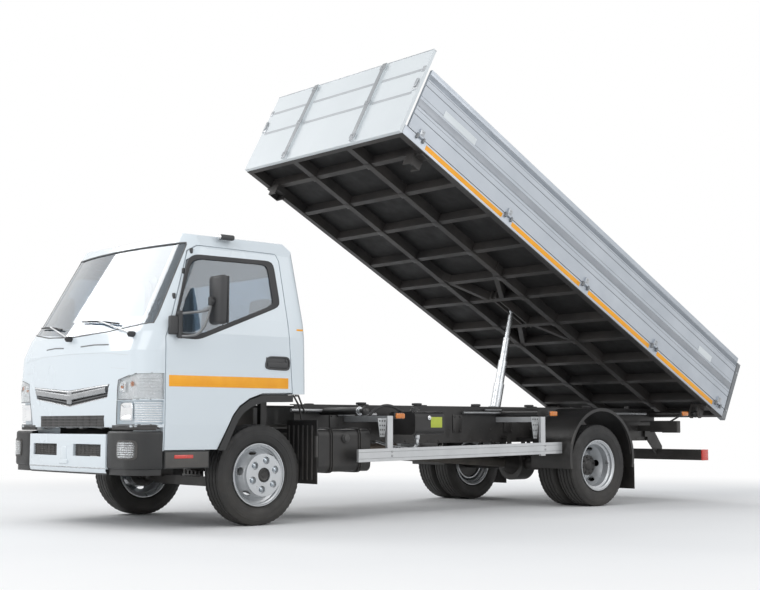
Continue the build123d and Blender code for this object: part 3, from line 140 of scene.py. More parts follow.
both = shader_node(tree, "MixShader", {0: far, 1: cloth.outputs[0], 2: glow.outputs[0]})
shader_node(tree, "OutputMaterial", {0: both.outputs[0]})
floor.data.materials.append(floor_white)
floor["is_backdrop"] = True

# name, where from, what it's aimed at, size, power
for name, place, target, size, power in (
        ("front_light", (2.5, AXLE - 9, 6.5), (0, AXLE + 1.5, 1.2), 7, 400),
        ("side_light", (9.5, AXLE + 3.5, 6.0), (0, AXLE + 1.5, 1.2), 7, 250),
        ("rear_light", (-7, AXLE + 10, 7), (0, AXLE + 1.5, 1.2), 7, 300),
        ("screen_light", (-6.5, AXLE - 3.8, 6.7), (0.4, AXLE - 0.9, 1.75), 4.4, 240)):
    lamp = bpy.data.lights.new(name, "AREA")
    lamp.size = size
    lamp.energy = power
    holder = bpy.data.objects.new(name, lamp)
    bpy.context.scene.collection.objects.link(holder)
    holder.location = place
    aim = Vector(target) - Vector(place)
    holder.rotation_mode = "QUATERNION"
    holder.rotation_quaternion = aim.to_track_quat("-Z", "Y")

# ---------------------------------------------------------------- cab panels
# Pressed steel shell and doors in bluish white gloss paint, with road dust low down.
# Door, windscreen and window edges carry black rubber.


def effect(name, inputs, outputs):
    """Empty shader node group with named inputs (name, kind, value) and outputs."""
    group = bpy.data.node_groups.new(name, "ShaderNodeTree")
    for label, kind, value in inputs:
        socket = group.interface.new_socket(label, in_out="INPUT", socket_type="NodeSocket" + kind)
        socket.default_value = value
    for label, kind in outputs:
        group.interface.new_socket(label, in_out="OUTPUT", socket_type="NodeSocket" + kind)
    return group, group.nodes.new("NodeGroupInput"), group.nodes.new("NodeGroupOutput")


def noise_in(tree, scale, detail):
    """Noise on the piece's own place; scale is an output."""
    place = shader_node(tree, "TexCoord").outputs["Object"]
    noise = shader_node(tree, "TexNoise", {"Vector": place, "Scale": scale, "Detail": detail})
    return noise.outputs["Fac"]


def spread(tree, value, low, high):
    """Noise drawn out to low..high, which are plain numbers or outputs."""
    ends = {"From Min": 0.3, "From Max": 0.7, "To Min": low, "To Max": high}
    return shader_node(tree, "MapRange", {"Value": value, **ends}).outputs[0]


# two close tones in soft blotches, and dust that thickens towards the road
weathered, group_in, group_out = effect(
    "weathered", (("Colour", "Color", (0.8, 0.8, 0.8, 1)), ("Second", "Color", (0.7, 0.7, 0.7, 1)),
                  ("Scale", "Float", 2.0), ("Dust Colour", "Color", (0.42, 0.37, 0.30, 1)),
                  ("Dust", "Float", 0.3), ("Dust Top", "Float", 1.0)),
    (("Colour", "Color"), ("Dust Mask", "Float")))
given = group_in.outputs
blot = spread(weathered, noise_in(weathered, given["Scale"], 4), 0, 1)
tones = shader_node(weathered, "Mix", {0: blot, 6: given["Colour"], 7: given["Second"]}, data_type="RGBA")
place = shader_node(weathered, "TexCoord").outputs["Object"]
height = shader_node(weathered, "SeparateXYZ", {0: place}).outputs["Z"]
fall = shader_node(weathered, "MapRange", {"Value": height, "From Min": given["Dust Top"], "From Max": 0.05,
                                           "To Min": 0, "To Max": 1})
fine = shader_node(weathered, "TexNoise", {"Vector": place, "Scale": 9, "Detail": 6})
patchy = maths(weathered, "MULTIPLY", fall.outputs[0], fine.outputs["Fac"])
amount = maths(weathered, "MULTIPLY", patchy, given["Dust"], use_clamp=True)
dusty = shader_node(weathered, "Mix", {0: amount, 6: tones.outputs[2], 7: given["Dust Colour"]},
                    data_type="RGBA")
weathered.links.new(dusty.outputs[2], group_out.inputs["Colour"])
weathered.links.new(amount, group_out.inputs["Dust Mask"])

# roughness that varies in patches and under dust
patchy_gloss, group_in, group_out = effect(
    "patchy_gloss", (("Smooth", "Float", 0.3), ("Dull", "Float", 0.4), ("Scale", "Float", 3.0)),
    (("Roughness", "Float"),))
given = group_in.outputs
gloss = spread(patchy_gloss, noise_in(patchy_gloss, given["Scale"], 6), given["Smooth"], given["Dull"])
patchy_gloss.links.new(gloss, group_out.inputs[0])

# fine surface height: orange peel, moulded grain, cast skin, brushing
surface_grain, group_in, group_out = effect(
    "surface_grain", (("Scale", "Float", 300.0),), (("Height", "Float"),))
surface_grain.links.new(noise_in(surface_grain, group_in.outputs["Scale"], 3), group_out.inputs[0])


def toned(name, colour, second, rough, scale, gloss_scale, dust, dust_top, sockets):
    """Material with two tones, dust and patchy gloss, and its shader."""
    material = bpy.data.materials.new(name)
    tree = node_tree(material)
    tint = shader_node(tree, "Group", {"Colour": (*colour, 1), "Second": (*second, 1), "Scale": scale,
                                       "Dust": dust, "Dust Top": dust_top}, node_tree=weathered)
    gloss = shader_node(tree, "Group", {"Smooth": rough[0], "Dull": rough[1], "Scale": gloss_scale},
                        node_tree=patchy_gloss)
    shader = shader_node(tree, "BsdfPrincipled", {label.replace("_", " "): value
                                                  for label, value in sockets.items()})
    tree.links.new(tint.outputs["Colour"], shader.inputs["Base Color"])
    tree.links.new(gloss.outputs[0], shader.inputs["Roughness"])
    shader_node(tree, "OutputMaterial", {0: shader.outputs[0]})
    return material, shader


def finish(name, colour, second, rough, metallic=0.0, coat=0.0, scale=2.0, dust=0.25, dust_top=1.0,
           grain=300.0, depth=0.0004, **sockets):
    """Painted, moulded or bare surface: two tones, patchy gloss, dust and a fine grain."""
    material, shader = toned(name, colour, second, rough, scale, scale * 2, dust, dust_top,
                             {"Metallic": metallic, "Coat_Weight": coat, **sockets})
    tree = material.node_tree
    height = shader_node(tree, "Group", {"Scale": grain}, node_tree=surface_grain).outputs[0]
    bump = shader_node(tree, "Bump", {"Distance": depth, "Strength": 0.6, "Height": height})
    tree.links.new(bump.outputs[0], shader.inputs["Normal"])
    return material


def dress(material, *names):
    """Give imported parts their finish."""
    for name in names:
        mesh = nodes[name].data
        mesh.materials.clear()
        mesh.materials.append(material)


cab_white = finish("cab_white", (0.70, 0.765, 0.81), (0.685, 0.75, 0.795), (0.24, 0.28), coat=0.6,
                   scale=1.2, dust=0.16, dust_top=0.95, grain=900, depth=0.00004, Coat_Roughness=0.06)
dress(cab_white, "cab_shell", "door_left", "door_right", "bumper")


def pick_only(piece):
    """Nothing selected but this piece, which is active."""
    bpy.ops.object.select_all(action="DESELECT")
    piece.select_set(True)
    bpy.context.view_layer.objects.active = piece


def settle(piece):
    """Place and turn go into the mesh, so the object sits at the origin."""
    pick_only(piece)
    bpy.ops.object.transform_apply(location=True, rotation=True, scale=True)


def smooth(piece, degrees=35):
    """Smooth shading, with edges sharper than an angle kept."""
    pick_only(piece)
    bpy.ops.object.shade_smooth_by_angle(angle=radians(degrees))


def modified(piece, kind, **settings):
    """A modifier of a kind with its settings, applied."""
    modifier = piece.modifiers.new(kind, kind)
    for name, value in settings.items():
        setattr(modifier, name, value)
    pick_only(piece)
    bpy.ops.object.modifier_apply(modifier=kind)
    return piece


def rounded(piece, width, steps=2):
    """Bevel all sharp edges."""
    modified(piece, "BEVEL", width=width, segments=steps, limit_method="ANGLE", angle_limit=radians(30))
    smooth(piece)


def edited(piece, *steps, pick=None):
    """Mesh operators run in turn on all faces, or on those that pick() takes."""
    pick_only(piece)
    bpy.ops.object.mode_set(mode="EDIT")
    bpy.ops.mesh.select_all(action="DESELECT" if pick else "SELECT")
    if pick:
        bpy.ops.object.mode_set(mode="OBJECT")
        for face in piece.data.polygons:
            face.select = pick(face)
        bpy.ops.object.mode_set(mode="EDIT")
    for operator, settings in steps:
        operator(**settings)
    bpy.ops.object.mode_set(mode="OBJECT")
    return piece


def put(piece, name, material, body):
    """Name a finished piece, give it its finish, and let it ride on its body."""
    piece.name = piece.data.name = name
    piece.data.materials.clear()
    piece.data.materials.append(material)
    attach(piece, body)
    return piece


def block(low, high, edge=0.003, steps=2):
    """Block between two corners, y from the front axle, with rounded edges."""
    size = [abs(b - a) for a, b in zip(low, high)]
    middle = [(a + b) / 2 for a, b in zip(low, high)]
    bpy.ops.object.select_all(action="DESELECT")
    bpy.ops.mesh.primitive_cube_add(size=1, location=(middle[0], middle[1] + AXLE, middle[2]))
    piece = bpy.context.object
    piece.scale = size
    settle(piece)
    rounded(piece, min(edge, min(size) * 0.45), steps)
    return piece


def bar(points, radius, sides=12, order=None):
    """Round bar or hose through points, y from the front axle."""
    curve = bpy.data.curves.new("bar", "CURVE")
    curve.dimensions = "3D"
    curve.bevel_depth = radius
    curve.bevel_resolution = sides // 4
    curve.use_fill_caps = True
    line = curve.splines.new("NURBS" if order else "POLY")
    line.points.add(len(points) - 1)
    for point, (x, y, z) in zip(line.points, points):
        point.co = (x, y + AXLE, z, 1)
    if order:
        line.order_u = order
        line.use_endpoint_u = True
    piece = bpy.data.objects.new("bar", curve)
    bpy.context.scene.collection.objects.link(piece)
    pick_only(piece)
    bpy.ops.object.convert(target="MESH")
    piece = bpy.context.object
    smooth(piece, 50)
    return piece


def disc(centre, radius, depth, axis="X", sides=32, edge=0.002):
    """Round plate with bevelled rims, y from the front axle."""
    turn = {"X": (0, pi / 2, 0), "Y": (pi / 2, 0, 0), "Z": (0, 0, 0)}[axis]
    x, y, z = centre
    bpy.ops.object.select_all(action="DESELECT")
    bpy.ops.mesh.primitive_cylinder_add(vertices=sides, radius=radius, depth=depth,
                                        location=(x, y + AXLE, z), rotation=turn)
    piece = bpy.context.object
    settle(piece)
    rounded(piece, edge)
    return piece


def joined(pieces):
    """Several meshes made one."""
    pick_only(pieces[0])
    for piece in pieces[1:]:
        piece.select_set(True)
    if len(pieces) > 1:
        bpy.ops.object.join()
    return bpy.context.view_layer.objects.active


def other_side(piece):
    """Mirror image of a piece across the truck's middle, with its own mesh."""
    twin = piece.copy()
    twin.data = piece.data.copy()
    bpy.context.scene.collection.objects.link(twin)
    twin.data.transform(Matrix.Scale(-1, 4, (1, 0, 0)))
    return edited(twin, (bpy.ops.mesh.flip_normals, {}))


def pair(piece, name, material, body):
    """A left piece and its right twin; body may end in _left."""
    twin = other_side(piece)
    put(piece, name + "_left", material, body)
    put(twin, name + "_right", material, body.replace("_left", "_right"))
    return piece, twin


# ---------------------------------------------------------------- window seals
# Matt black rubber channel round each side window, pressed over the door's edge.
# Outlines are y, z from the front axle; half widths follow the leaning side.
seal_rubber = finish("seal_rubber", (0.028, 0.028, 0.03), (0.045, 0.045, 0.047), (0.55, 0.75), scale=5,
                     dust=0.3, grain=600, depth=0.0002)
DOOR_FACE = 0.9975
WINDOW = ((-0.800, 1.400), (-0.600, 1.394), (0.120, 1.668), (0.150, 1.700), (0.122, 2.000),
          (0.090, 2.030), (-0.590, 2.026), (-0.650, 1.990), (-0.806, 1.520))
SIDE_LEAN = ((1.44, DOOR_FACE), (1.56, 0.985), (2.14, 0.893), (2.33, 0.862))   # z, half width


def side_x(z):
    """Half width of the cab's side at a height."""
    for (z0, x0), (z1, x1) in zip(SIDE_LEAN, SIDE_LEAN[1:]):
        if z0 <= z <= z1:
            return x0 + (x1 - x0) * (z - z0) / (z1 - z0)
    return DOOR_FACE


def between(points, step, closed):
    """Points along an outline, no further apart than step."""
    ring, ends = [], points[1:] + points[:1] if closed else points[1:]
    for (a, b), (c, d) in zip(points, ends):
        count = max(1, int(((c - a) ** 2 + (d - b) ** 2) ** 0.5 / step))
        ring += [(a + (c - a) * i / count, b + (d - b) * i / count) for i in range(count)]
    return [*ring, points[0] if closed else points[-1]]


def eased(ring, cut, steps=4):
    """Closed ring with its corners rounded off over a distance."""
    smoothed = []
    for before, here, after in zip(ring[-1:] + ring[:-1], ring, ring[1:] + ring[:1]):
        here = Vector(here)
        near, far = Vector(before) - here, Vector(after) - here
        start = here + near.normalized() * min(cut, near.length * 0.45)
        end = here + far.normalized() * min(cut, far.length * 0.45)
        for i in range(steps + 1):
            t = i / steps
            smoothed.append(tuple(start * (1 - t) ** 2 + here * 2 * t * (1 - t) + end * t ** 2))
    return smoothed


def ray(ring, centre, angle):
    """Where a ray from the centre at an angle leaves a closed ring."""
    best = 0
    for (y0, z0), (y1, z1) in zip(ring, ring[1:] + ring[:1]):
        cross = cos(angle) * (z1 - z0) - sin(angle) * (y1 - y0)
        if abs(cross) > 1e-9:
            reach = ((y0 - centre[0]) * (z1 - z0) - (z0 - centre[1]) * (y1 - y0)) / cross
            share = ((y0 - centre[0]) * sin(angle) - (z0 - centre[1]) * cos(angle)) / cross
            if reach > 0 and -0.001 <= share <= 1.001:
                best = max(best, reach)
    return centre[0] + cos(angle) * best, centre[1] + sin(angle) * best


def meshed(name, verts, faces, weld=0.0):
    """Piece from points and faces: doubles merged, then faces turned outwards."""
    mesh = bpy.data.meshes.new(name)
    mesh.from_pydata(verts, [], faces)
    piece = bpy.data.objects.new(name, mesh)
    bpy.context.scene.collection.objects.link(piece)
    if weld:
        edited(piece, (bpy.ops.mesh.remove_doubles, {"threshold": weld}))
    return edited(piece, (bpy.ops.mesh.normals_make_consistent, {"inside": False}))


def walled(piece, thick, offset=0.0):
    """Sheet given a wall: offset -1 is inwards, 1 outwards and 0 both ways."""
    return modified(piece, "SOLIDIFY", thickness=thick, offset=offset)


def sheet_between(outer, inner, centre, lay, thick, count=132):
    """Flat ring between two closed outlines, laid on a surface; lay(a, b) gives a place."""
    verts, faces = [], []
    for i in range(count):
        angle = tau * i / count
        verts += [lay(*ray(outer, centre, angle)), lay(*ray(inner, centre, angle))]
        far = 2 * ((i + 1) % count)
        faces.append((2 * i, far, far + 1, 2 * i + 1))
    piece = walled(meshed("ring", verts, faces), thick)
    rounded(piece, thick * 0.3)
    return piece


SIGHT = ((-0.790, 1.430), (-0.606, 1.424), (0.070, 1.680), (0.093, 1.706), (0.068, 1.975), (0.040, 2.001),
         (-0.578, 1.997), (-0.636, 1.966), (-0.794, 1.520))       # what the seal leaves clear
MIDDLE_Y, MIDDLE_Z = -0.33, 1.74          # a window's middle
outer = eased([(MIDDLE_Y + (y - MIDDLE_Y) * 1.018, MIDDLE_Z + (z - MIDDLE_Z) * 1.022) for y, z in WINDOW],
              0.05)
seal = sheet_between(outer, eased(list(SIGHT), 0.055), (MIDDLE_Y, MIDDLE_Z),
                     lambda y, z: (side_x(z) - 0.0035, y + AXLE, z), 0.012)
pair(seal, "window_seal", seal_rubber, "door_left")

# ---------------------------------------------------------------- door handles
# Black moulded bowl let into the door, with a flap over it and a round key cap,
# clipped in from behind.
bowl_rim = eased([(-0.014, 1.186), (0.226, 1.178), (0.234, 1.240), (0.222, 1.288), (0.010, 1.288)], 0.045)
hollow = eased([(0.004, 1.198), (0.214, 1.192), (0.222, 1.240), (0.212, 1.276), (0.022, 1.276)], 0.04)
handle = joined([sheet_between(bowl_rim, hollow, (0.11, 1.235), lambda y, z: (1.000, y + AXLE, z), 0.008, 60),
                 block((0.9972, 0.004, 1.192), (0.9985, 0.224, 1.278), 0.0005),
                 block((0.9985, 0.016, 1.200), (1.0065, 0.206, 1.242), 0.010, 3),
                 disc((1.000, 0.196, 1.258), 0.011, 0.006, "X", 20)])
moulded_black = finish("moulded_black", (0.035, 0.036, 0.038), (0.05, 0.05, 0.052), (0.42, 0.6), scale=6,
                       dust=0.35, grain=420, depth=0.0004)
pair(handle, "door_handle", moulded_black, "door_left")

# ---------------------------------------------------------------- stripes and pillar markers
# Orange reflecting film: a plain stripe along each door, and a short mark on the
# cab's rear pillar.
stripe_orange = finish("stripe_orange", (0.95, 0.42, 0.015), (0.90, 0.37, 0.012), (0.34, 0.5), scale=9,
                       dust=0.05, grain=700, depth=0.0001)
pair(block((0.9968, -0.857, 1.040), (0.9992, 0.218, 1.122), 0.0008), "door_stripe", stripe_orange,
     "door_left")
marker = block((0.9955, 0.300, 1.494), (0.9985, 0.362, 1.508), 0.001)
marker.data.transform(Matrix.Translation((side_x(1.50) - 0.9975, 0, 0)))
pair(marker, "pillar_marker", stripe_orange, "cab")

# ---------------------------------------------------------------- windscreen trim
# Grey rubber seal round the windscreen, three black clips down each pillar, and the
# front panel's pressed slots and crease lines. FRONT is the bowed panel's shape.
# z, front, bow, half width and corner radius
FRONT = ((0.56, -1.100, 0.022, 0.985, 0.150), (0.76, -1.106, 0.022, 0.9975, 0.160),
         (1.03, -1.128, 0.026, 0.9975, 0.170), (1.30, -1.130, 0.040, 0.9975, 0.190),
         (1.44, -1.100, 0.066, 0.9975, 0.205), (1.56, -1.030, 0.078, 0.985, 0.210),
         (2.14, -0.712, 0.070, 0.893, 0.190), (2.33, -0.606, 0.064, 0.862, 0.180))


def front_y(x, z, inward=0.0):
    """Where the bowed front stands at x and z, moved in by a distance."""
    for row, above in zip(FRONT, FRONT[1:]):
        if z <= above[0]:
            share = (z - row[0]) / (above[0] - row[0])
            break
    _, front, bow, half, r = [a + (b - a) * share for a, b in zip(row, above)]
    knee = half - r
    if abs(x) <= knee:
        radius = (knee ** 2 + bow ** 2) / (2 * bow)
        return front + radius - (radius ** 2 - x ** 2) ** 0.5 + inward
    side = min(abs(x) - knee, r * 0.999)
    return front + bow + r - (r ** 2 - side ** 2) ** 0.5 + inward


def on_front(points, radius, inward=0.0, step=0.05, closed=False):
    """Round strip through front-view points (x, z), lying on the cab's front."""
    return bar([(x, front_y(x, z, inward), z) for x, z in between(list(points), step, closed)], radius, 8)


clips = []
for z in (2.060, 1.900, 1.705):
    x = side_x(z) - 0.035
    y = front_y(x, z)
    clips.append(block((x - 0.012, y - 0.010, z - 0.022), (x + 0.012, y + 0.010, z + 0.022), 0.006, 3))
pair(joined(clips), "pillar_clips", moulded_black, "cab")
SCREEN = ((-0.915, 1.500), (-0.46, 1.449), (0, 1.432), (0.46, 1.449), (0.915, 1.500), (0.822, 2.110),
          (0.812, 2.128), (-0.812, 2.128), (-0.822, 2.110))
seal_grey = finish("seal_grey", (0.09, 0.093, 0.096), (0.12, 0.123, 0.126), (0.5, 0.65), scale=5, dust=0.1)
put(on_front(SCREEN, 0.0065, 0.003, 0.05, True), "screen_seal", seal_grey, "cab")
crease = finish("crease_shade", (0.50, 0.53, 0.55), (0.55, 0.58, 0.60), (0.35, 0.5), scale=4)
put(on_front(((-0.86, 1.262), (-0.5, 1.292), (0, 1.300), (0.5, 1.292), (0.86, 1.262)), 0.0022, 0.0016),
    "front_crease", crease, "cab")
slots = []
for x0, x1 in ((-0.42, -0.12), (0.155, 0.54)):
    slots.append(on_front(((x0, 1.352), ((x0 + x1) / 2, 1.358), (x1, 1.352)), 0.0055, 0.001))
slot_grey = finish("slot_grey", (0.16, 0.17, 0.175), (0.20, 0.21, 0.215), (0.5, 0.6), scale=8)
put(joined(slots), "screen_slots", slot_grey, "cab")
put(joined([on_front(((side * 0.60, 1.180), (side * 0.80, 1.166), (side * 0.93, 1.150)), 0.0018, 0.0014)
            for side in (1, -1)]), "lamp_crease", crease, "cab")

# ---------------------------------------------------------------- wipers
# Silver painted arm on a black pivot under the screen, with a rubber blade in a
# steel bridge that rests on the glass.


def wiper(pivot_x, elbow_x):
    """Black pivot, silver arm and rubber blade resting on the glass."""
    pivot = Vector((pivot_x, front_y(pivot_x, 1.425) - 0.024, 1.418))
    elbow = Vector((elbow_x, front_y(elbow_x, 1.545) - 0.022, 1.545))
    arm = bar([tuple(pivot), tuple(pivot.lerp(elbow, 0.3) + Vector((0, -0.010, 0.008))), tuple(elbow)],
              0.0065)
    slope = 1 if elbow_x < pivot_x else -1
    blade = []
    for i in range(11):
        t = i / 5 - 1
        x = elbow.x + 0.27 * t
        z = 1.537 - 0.022 * slope * t - 0.006 * t * t
        blade.append((x, front_y(x, z) - 0.010, z))
    bridge = [(x, y - 0.008, z + 0.004) for x, y, z in blade[2:9]]
    knob = disc(tuple(pivot), 0.021, 0.050, "Y", 20, 0.007)
    nut = disc((pivot.x, pivot.y - 0.028, pivot.z), 0.010, 0.012, "Y", 6, 0.003)
    return arm, joined([bar(blade, 0.0060, 8), bar(bridge, 0.0042, 8), knob, nut])


wiper_silver = finish("wiper_silver", (0.60, 0.61, 0.62), (0.50, 0.51, 0.52), (0.3, 0.45), metallic=0.9,
                      scale=12)
for side, pivot_x, elbow_x in (("left", 0.81, 0.30), ("right", -0.02, -0.53)):
    arm, rubber = wiper(pivot_x, elbow_x)
    put(arm, "wiper_arm_" + side, wiper_silver, "cab")
    put(rubber, "wiper_blade_" + side, seal_rubber, "cab")

# ---------------------------------------------------------------- windows
# Toughened glass with a light blue-grey tint, bonded in behind the seals.


def clear_finish(name, colour, second, rough, scale, gloss_scale, dust, dust_top=1.0, **sockets):
    """Glass or clear plastic: two tones and patchy gloss, without grain."""
    return toned(name, colour, second, rough, scale, gloss_scale, dust, dust_top, sockets)[0]


glass = clear_finish("tinted_glass", (0.36, 0.45, 0.53), (0.31, 0.40, 0.49), (0.015, 0.06), 1.1, 2.5, 0.1,
                     1.4, Transmission_Weight=0.88, IOR=1.52, Coat_Weight=0.9, Coat_Roughness=0.02)
dress(glass, "cab_glass", "door_glass_left", "door_glass_right")

# ---------------------------------------------------------------- grille
# Dark mesh behind a grey winged bar with bright edges and a plain middle boss,
# clipped into the front panel.
grille_grey = finish("grille_grey", (0.16, 0.165, 0.17), (0.11, 0.112, 0.115), (0.3, 0.45), metallic=0.4,
                     scale=5, dust=0.3, grain=500)
dress(grille_grey, "grille")
bright = finish("bright_trim", (0.70, 0.71, 0.72), (0.60, 0.61, 0.62), (0.14, 0.24), metallic=1.0, scale=8,
                dust=0.2)
GRILLE_HALF = 0.560


def wing(share):
    """Points (x, z) across the grille at a share of its height."""
    half = GRILLE_HALF + 0.032 * share
    ends = 0.962 + 0.096 * share
    middle = 0.900 + 0.120 * share
    return [(-half, ends), (-half * 0.5, (ends + middle) / 2), (0, middle), (half * 0.5, (ends + middle) / 2),
            (half, ends)]


def shrunk(points, by):
    """Points drawn in towards the middle by a share."""
    return [(x * (1 - by), z) for x, z in points]


vee = on_front(shrunk(wing(0.58), 0.045), 0.024, 0.002, 0.03)
for vert in vee.data.vertices:
    lay = front_y(vert.co.x, vert.co.z) + AXLE
    vert.co.y = lay - 0.003 + (vert.co.y - lay - 0.002) * 0.42
bar_grey = finish("bar_grey", (0.40, 0.41, 0.42), (0.33, 0.34, 0.35), (0.2, 0.32), metallic=0.75, scale=8,
                  dust=0.15)
put(vee, "grille_vee", bar_grey, "cab")
edge = [on_front(shrunk(wing(0.93), 0.010), 0.0075, 0.0015),
        on_front(shrunk(wing(0.015), 0.006), 0.0035, 0.0015)]
put(joined(edge), "grille_trim", bright, "cab")
put(on_front(shrunk(wing(0.99), -0.004), 0.0035, 0.001), "grille_edge", seal_rubber, "cab")
mesh_bars = []
for i in range(23):
    x = -0.53 + i * 1.06 / 22
    foot, top = 0.905 + 0.060 * abs(x) / GRILLE_HALF, 0.945 + 0.030 * abs(x) / GRILLE_HALF
    mesh_bars.append(block((x - 0.002, front_y(x, foot) + 0.006, foot),
                           (x + 0.002, front_y(x, top) + 0.016, top), 0.0008))
for share in (0.14, 0.28):
    mesh_bars.append(on_front(shrunk(wing(share), 0.03), 0.003, 0.010, 0.08))
put(joined(mesh_bars), "grille_mesh", seal_rubber, "cab")
fins = []
for i in range(16):
    x = -0.50 + i * 1.0 / 15
    if abs(x) > 0.06:
        z = 0.900 + 0.062 * abs(x) / GRILLE_HALF + 0.70 * (0.120 - 0.024 * abs(x) / GRILLE_HALF)
        fins.append(block((x - 0.022, front_y(x, z) - 0.008, z - 0.003),
                          (x + 0.022, front_y(x, z) + 0.004, z + 0.003), 0.001))
put(joined(fins), "grille_bar_slots", grille_grey, "cab")
centre_y = front_y(0, 0.96)
put(block((-0.036, centre_y - 0.008, 0.918), (0.036, centre_y + 0.020, 1.014), 0.014, 4),
    "grille_centre", bar_grey, "cab")

# ---------------------------------------------------------------- lower intake
# Opening under the grille: black mesh behind three moulded slats, with the cab's
# latches and tubes in the gap below.
opening = [block((x0, front_y((x0 + x1) / 2, 0.79) - 0.0015, 0.747),
                 (x1, front_y((x0 + x1) / 2, 0.79) + 0.012, 0.833), 0.002)
           for x0, x1 in ((-0.500 + 0.1 * i, -0.400 + 0.1 * i) for i in range(10))]
put(joined(opening), "intake_mesh", seal_rubber, "cab")
slats = [on_front(((-0.495, z), (0, z), (0.495, z)), 0.0035, -0.002, 0.08) for z in (0.768, 0.789, 0.811)]
put(joined(slats), "intake_slats", moulded_black, "cab")
works = [bar([(-0.30, -1.085, 0.765), (0.30, -1.085, 0.765)], 0.012),
         bar([(-0.46, -1.080, 0.748), (-0.30, -1.080, 0.760)], 0.018),
         bar([(0.46, -1.080, 0.748), (0.30, -1.080, 0.760)], 0.018),
         block((-0.09, -1.10, 0.735), (0.02, -1.06, 0.775), 0.006),
         block((0.12, -1.10, 0.732), (0.18, -1.06, 0.782), 0.006)]
put(joined(works), "front_latches", moulded_black, "cab")

# ---------------------------------------------------------------- headlamps
# Clear moulded lenses over a silvered housing: the upper lamp with an orange bulb,
# the lower one with a square reflector; ribbed sides, and dark gaps round the lenses.
lens_clear = clear_finish("lens_clear", (0.95, 0.965, 0.975), (0.90, 0.925, 0.94), (0.02, 0.09), 5.0, 7.0,
                          0.15, Transmission_Weight=0.92, IOR=1.45)
silvered = finish("silvered_housing", (0.86, 0.87, 0.88), (0.78, 0.79, 0.80), (0.16, 0.30), metallic=0.3,
                  scale=14, dust=0.06, grain=90, depth=0.00008)


def copy_of(node):
    """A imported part's mesh as a new piece in its place, with doubles merged."""
    piece = bpy.data.objects.new("copy", nodes[node].data.copy())
    piece.matrix_world = nodes[node].matrix_world.copy()
    bpy.context.scene.collection.objects.link(piece)
    settle(piece)
    return edited(piece, (bpy.ops.mesh.remove_doubles, {"threshold": 0.00002}))


def faces_kept(piece, keep):
    """Only the faces that keep() picks are left."""
    return edited(piece, (bpy.ops.mesh.delete, {"type": "FACE"}), pick=lambda face: not keep(face))


def on_skin(face):
    """True for the lamps' outer faces on the front and on the sides."""
    x, y, z = face.center
    out = abs(y - front_y(x, z) - AXLE) < 0.006 or abs(abs(x) - DOOR_FACE) < 0.002
    return out and abs(face.normal.z) <= 0.7 and face.normal.y <= 0.3


def lamp_skin(lift, wall):
    """The lamps' outer faces alone, moved in by lift and given a wall."""
    piece = faces_kept(copy_of("headlamps"), on_skin)
    if lift:
        modified(piece, "DISPLACE", strength=-lift, mid_level=0)
    walled(piece, wall, -1)
    smooth(piece, 30)
    return piece


put(lamp_skin(0.021, 0.003), "headlamp_housings", silvered, "cab")
lens = put(lamp_skin(0.0, 0.003), "headlamp_lenses", lens_clear, "cab")
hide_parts("headlamps")


def bowl(x, z, half_x, half_z, inward=0.006, depth=0.014):
    """Square reflector bowl standing in the lamp, open to the front."""
    y = front_y(x, z) + inward
    piece = block((x - half_x, y, z - half_z), (x + half_x, y + depth, z + half_z), 0.004)
    area, half = max(face.area for face in piece.data.polygons if face.normal.y < -0.9), min(half_x, half_z)
    edited(piece, (bpy.ops.mesh.inset, {"thickness": half * 0.22}),
           (bpy.ops.mesh.inset, {"thickness": half * 0.30, "depth": -depth * 0.7}),
           pick=lambda face: face.normal.y < -0.9 and face.area > area * 0.9)
    smooth(piece, 25)
    return piece


chrome = finish("lamp_chrome", (0.88, 0.89, 0.90), (0.80, 0.81, 0.82), (0.06, 0.14), metallic=1.0, scale=10,
                dust=0.05)
pair(joined([bowl(0.785, 0.858, 0.082, 0.064, 0.006, 0.016), bowl(0.752, 1.035, 0.042, 0.038)]), "lamp_bowls",
     chrome, "cab")
bulbs = joined([disc((0.752, front_y(0.752, 1.035) + 0.008, 1.035), 0.012, 0.012, "Y", 20, 0.005),
                disc((0.870, front_y(0.870, 1.055) + 0.012, 1.055), 0.020, 0.014, "Y", 24, 0.006)])
amber = clear_finish("amber_lens", (0.95, 0.30, 0.02), (0.80, 0.20, 0.01), (0.12, 0.25), 30.0, 40.0, 0.2,
                     Coat_Weight=0.8, Transmission_Weight=0.25)
pair(bulbs, "lamp_bulbs", amber, "cab")
ribs = []
for i in range(9):
    z = 0.786 + i * 0.0168
    path = [(x, front_y(x, z, 0.009), z) for x in (0.888, 0.915, 0.940, 0.960, 0.976, 0.986)]
    ribs.append(bar([*path, (0.9905, -0.955, z), (0.9905, -0.905, z)], 0.0032, 8))
for i in range(6):
    z = 0.986 + i * 0.022
    path = [(x, front_y(x, z, 0.009), z) for x in (0.915, 0.940, 0.960, 0.976, 0.986)]
    ribs.append(bar([*path, (0.9905, -0.955, z), (0.9905, -0.915, z)], 0.0028, 8))
pair(joined(ribs), "lamp_ribs", silvered, "cab")
outlines = [on_front(((0.984, 0.9445), (0.691, 0.9445), (0.711, 1.088), (0.905, 1.130), (0.984, 1.134)),
                     0.0030, 0.0005),
            on_front(((0.690, 0.9395), (0.667, 0.765), (0.984, 0.765)), 0.0030, 0.0005)]
pair(joined(outlines), "lamp_outlines", seal_grey, "cab")

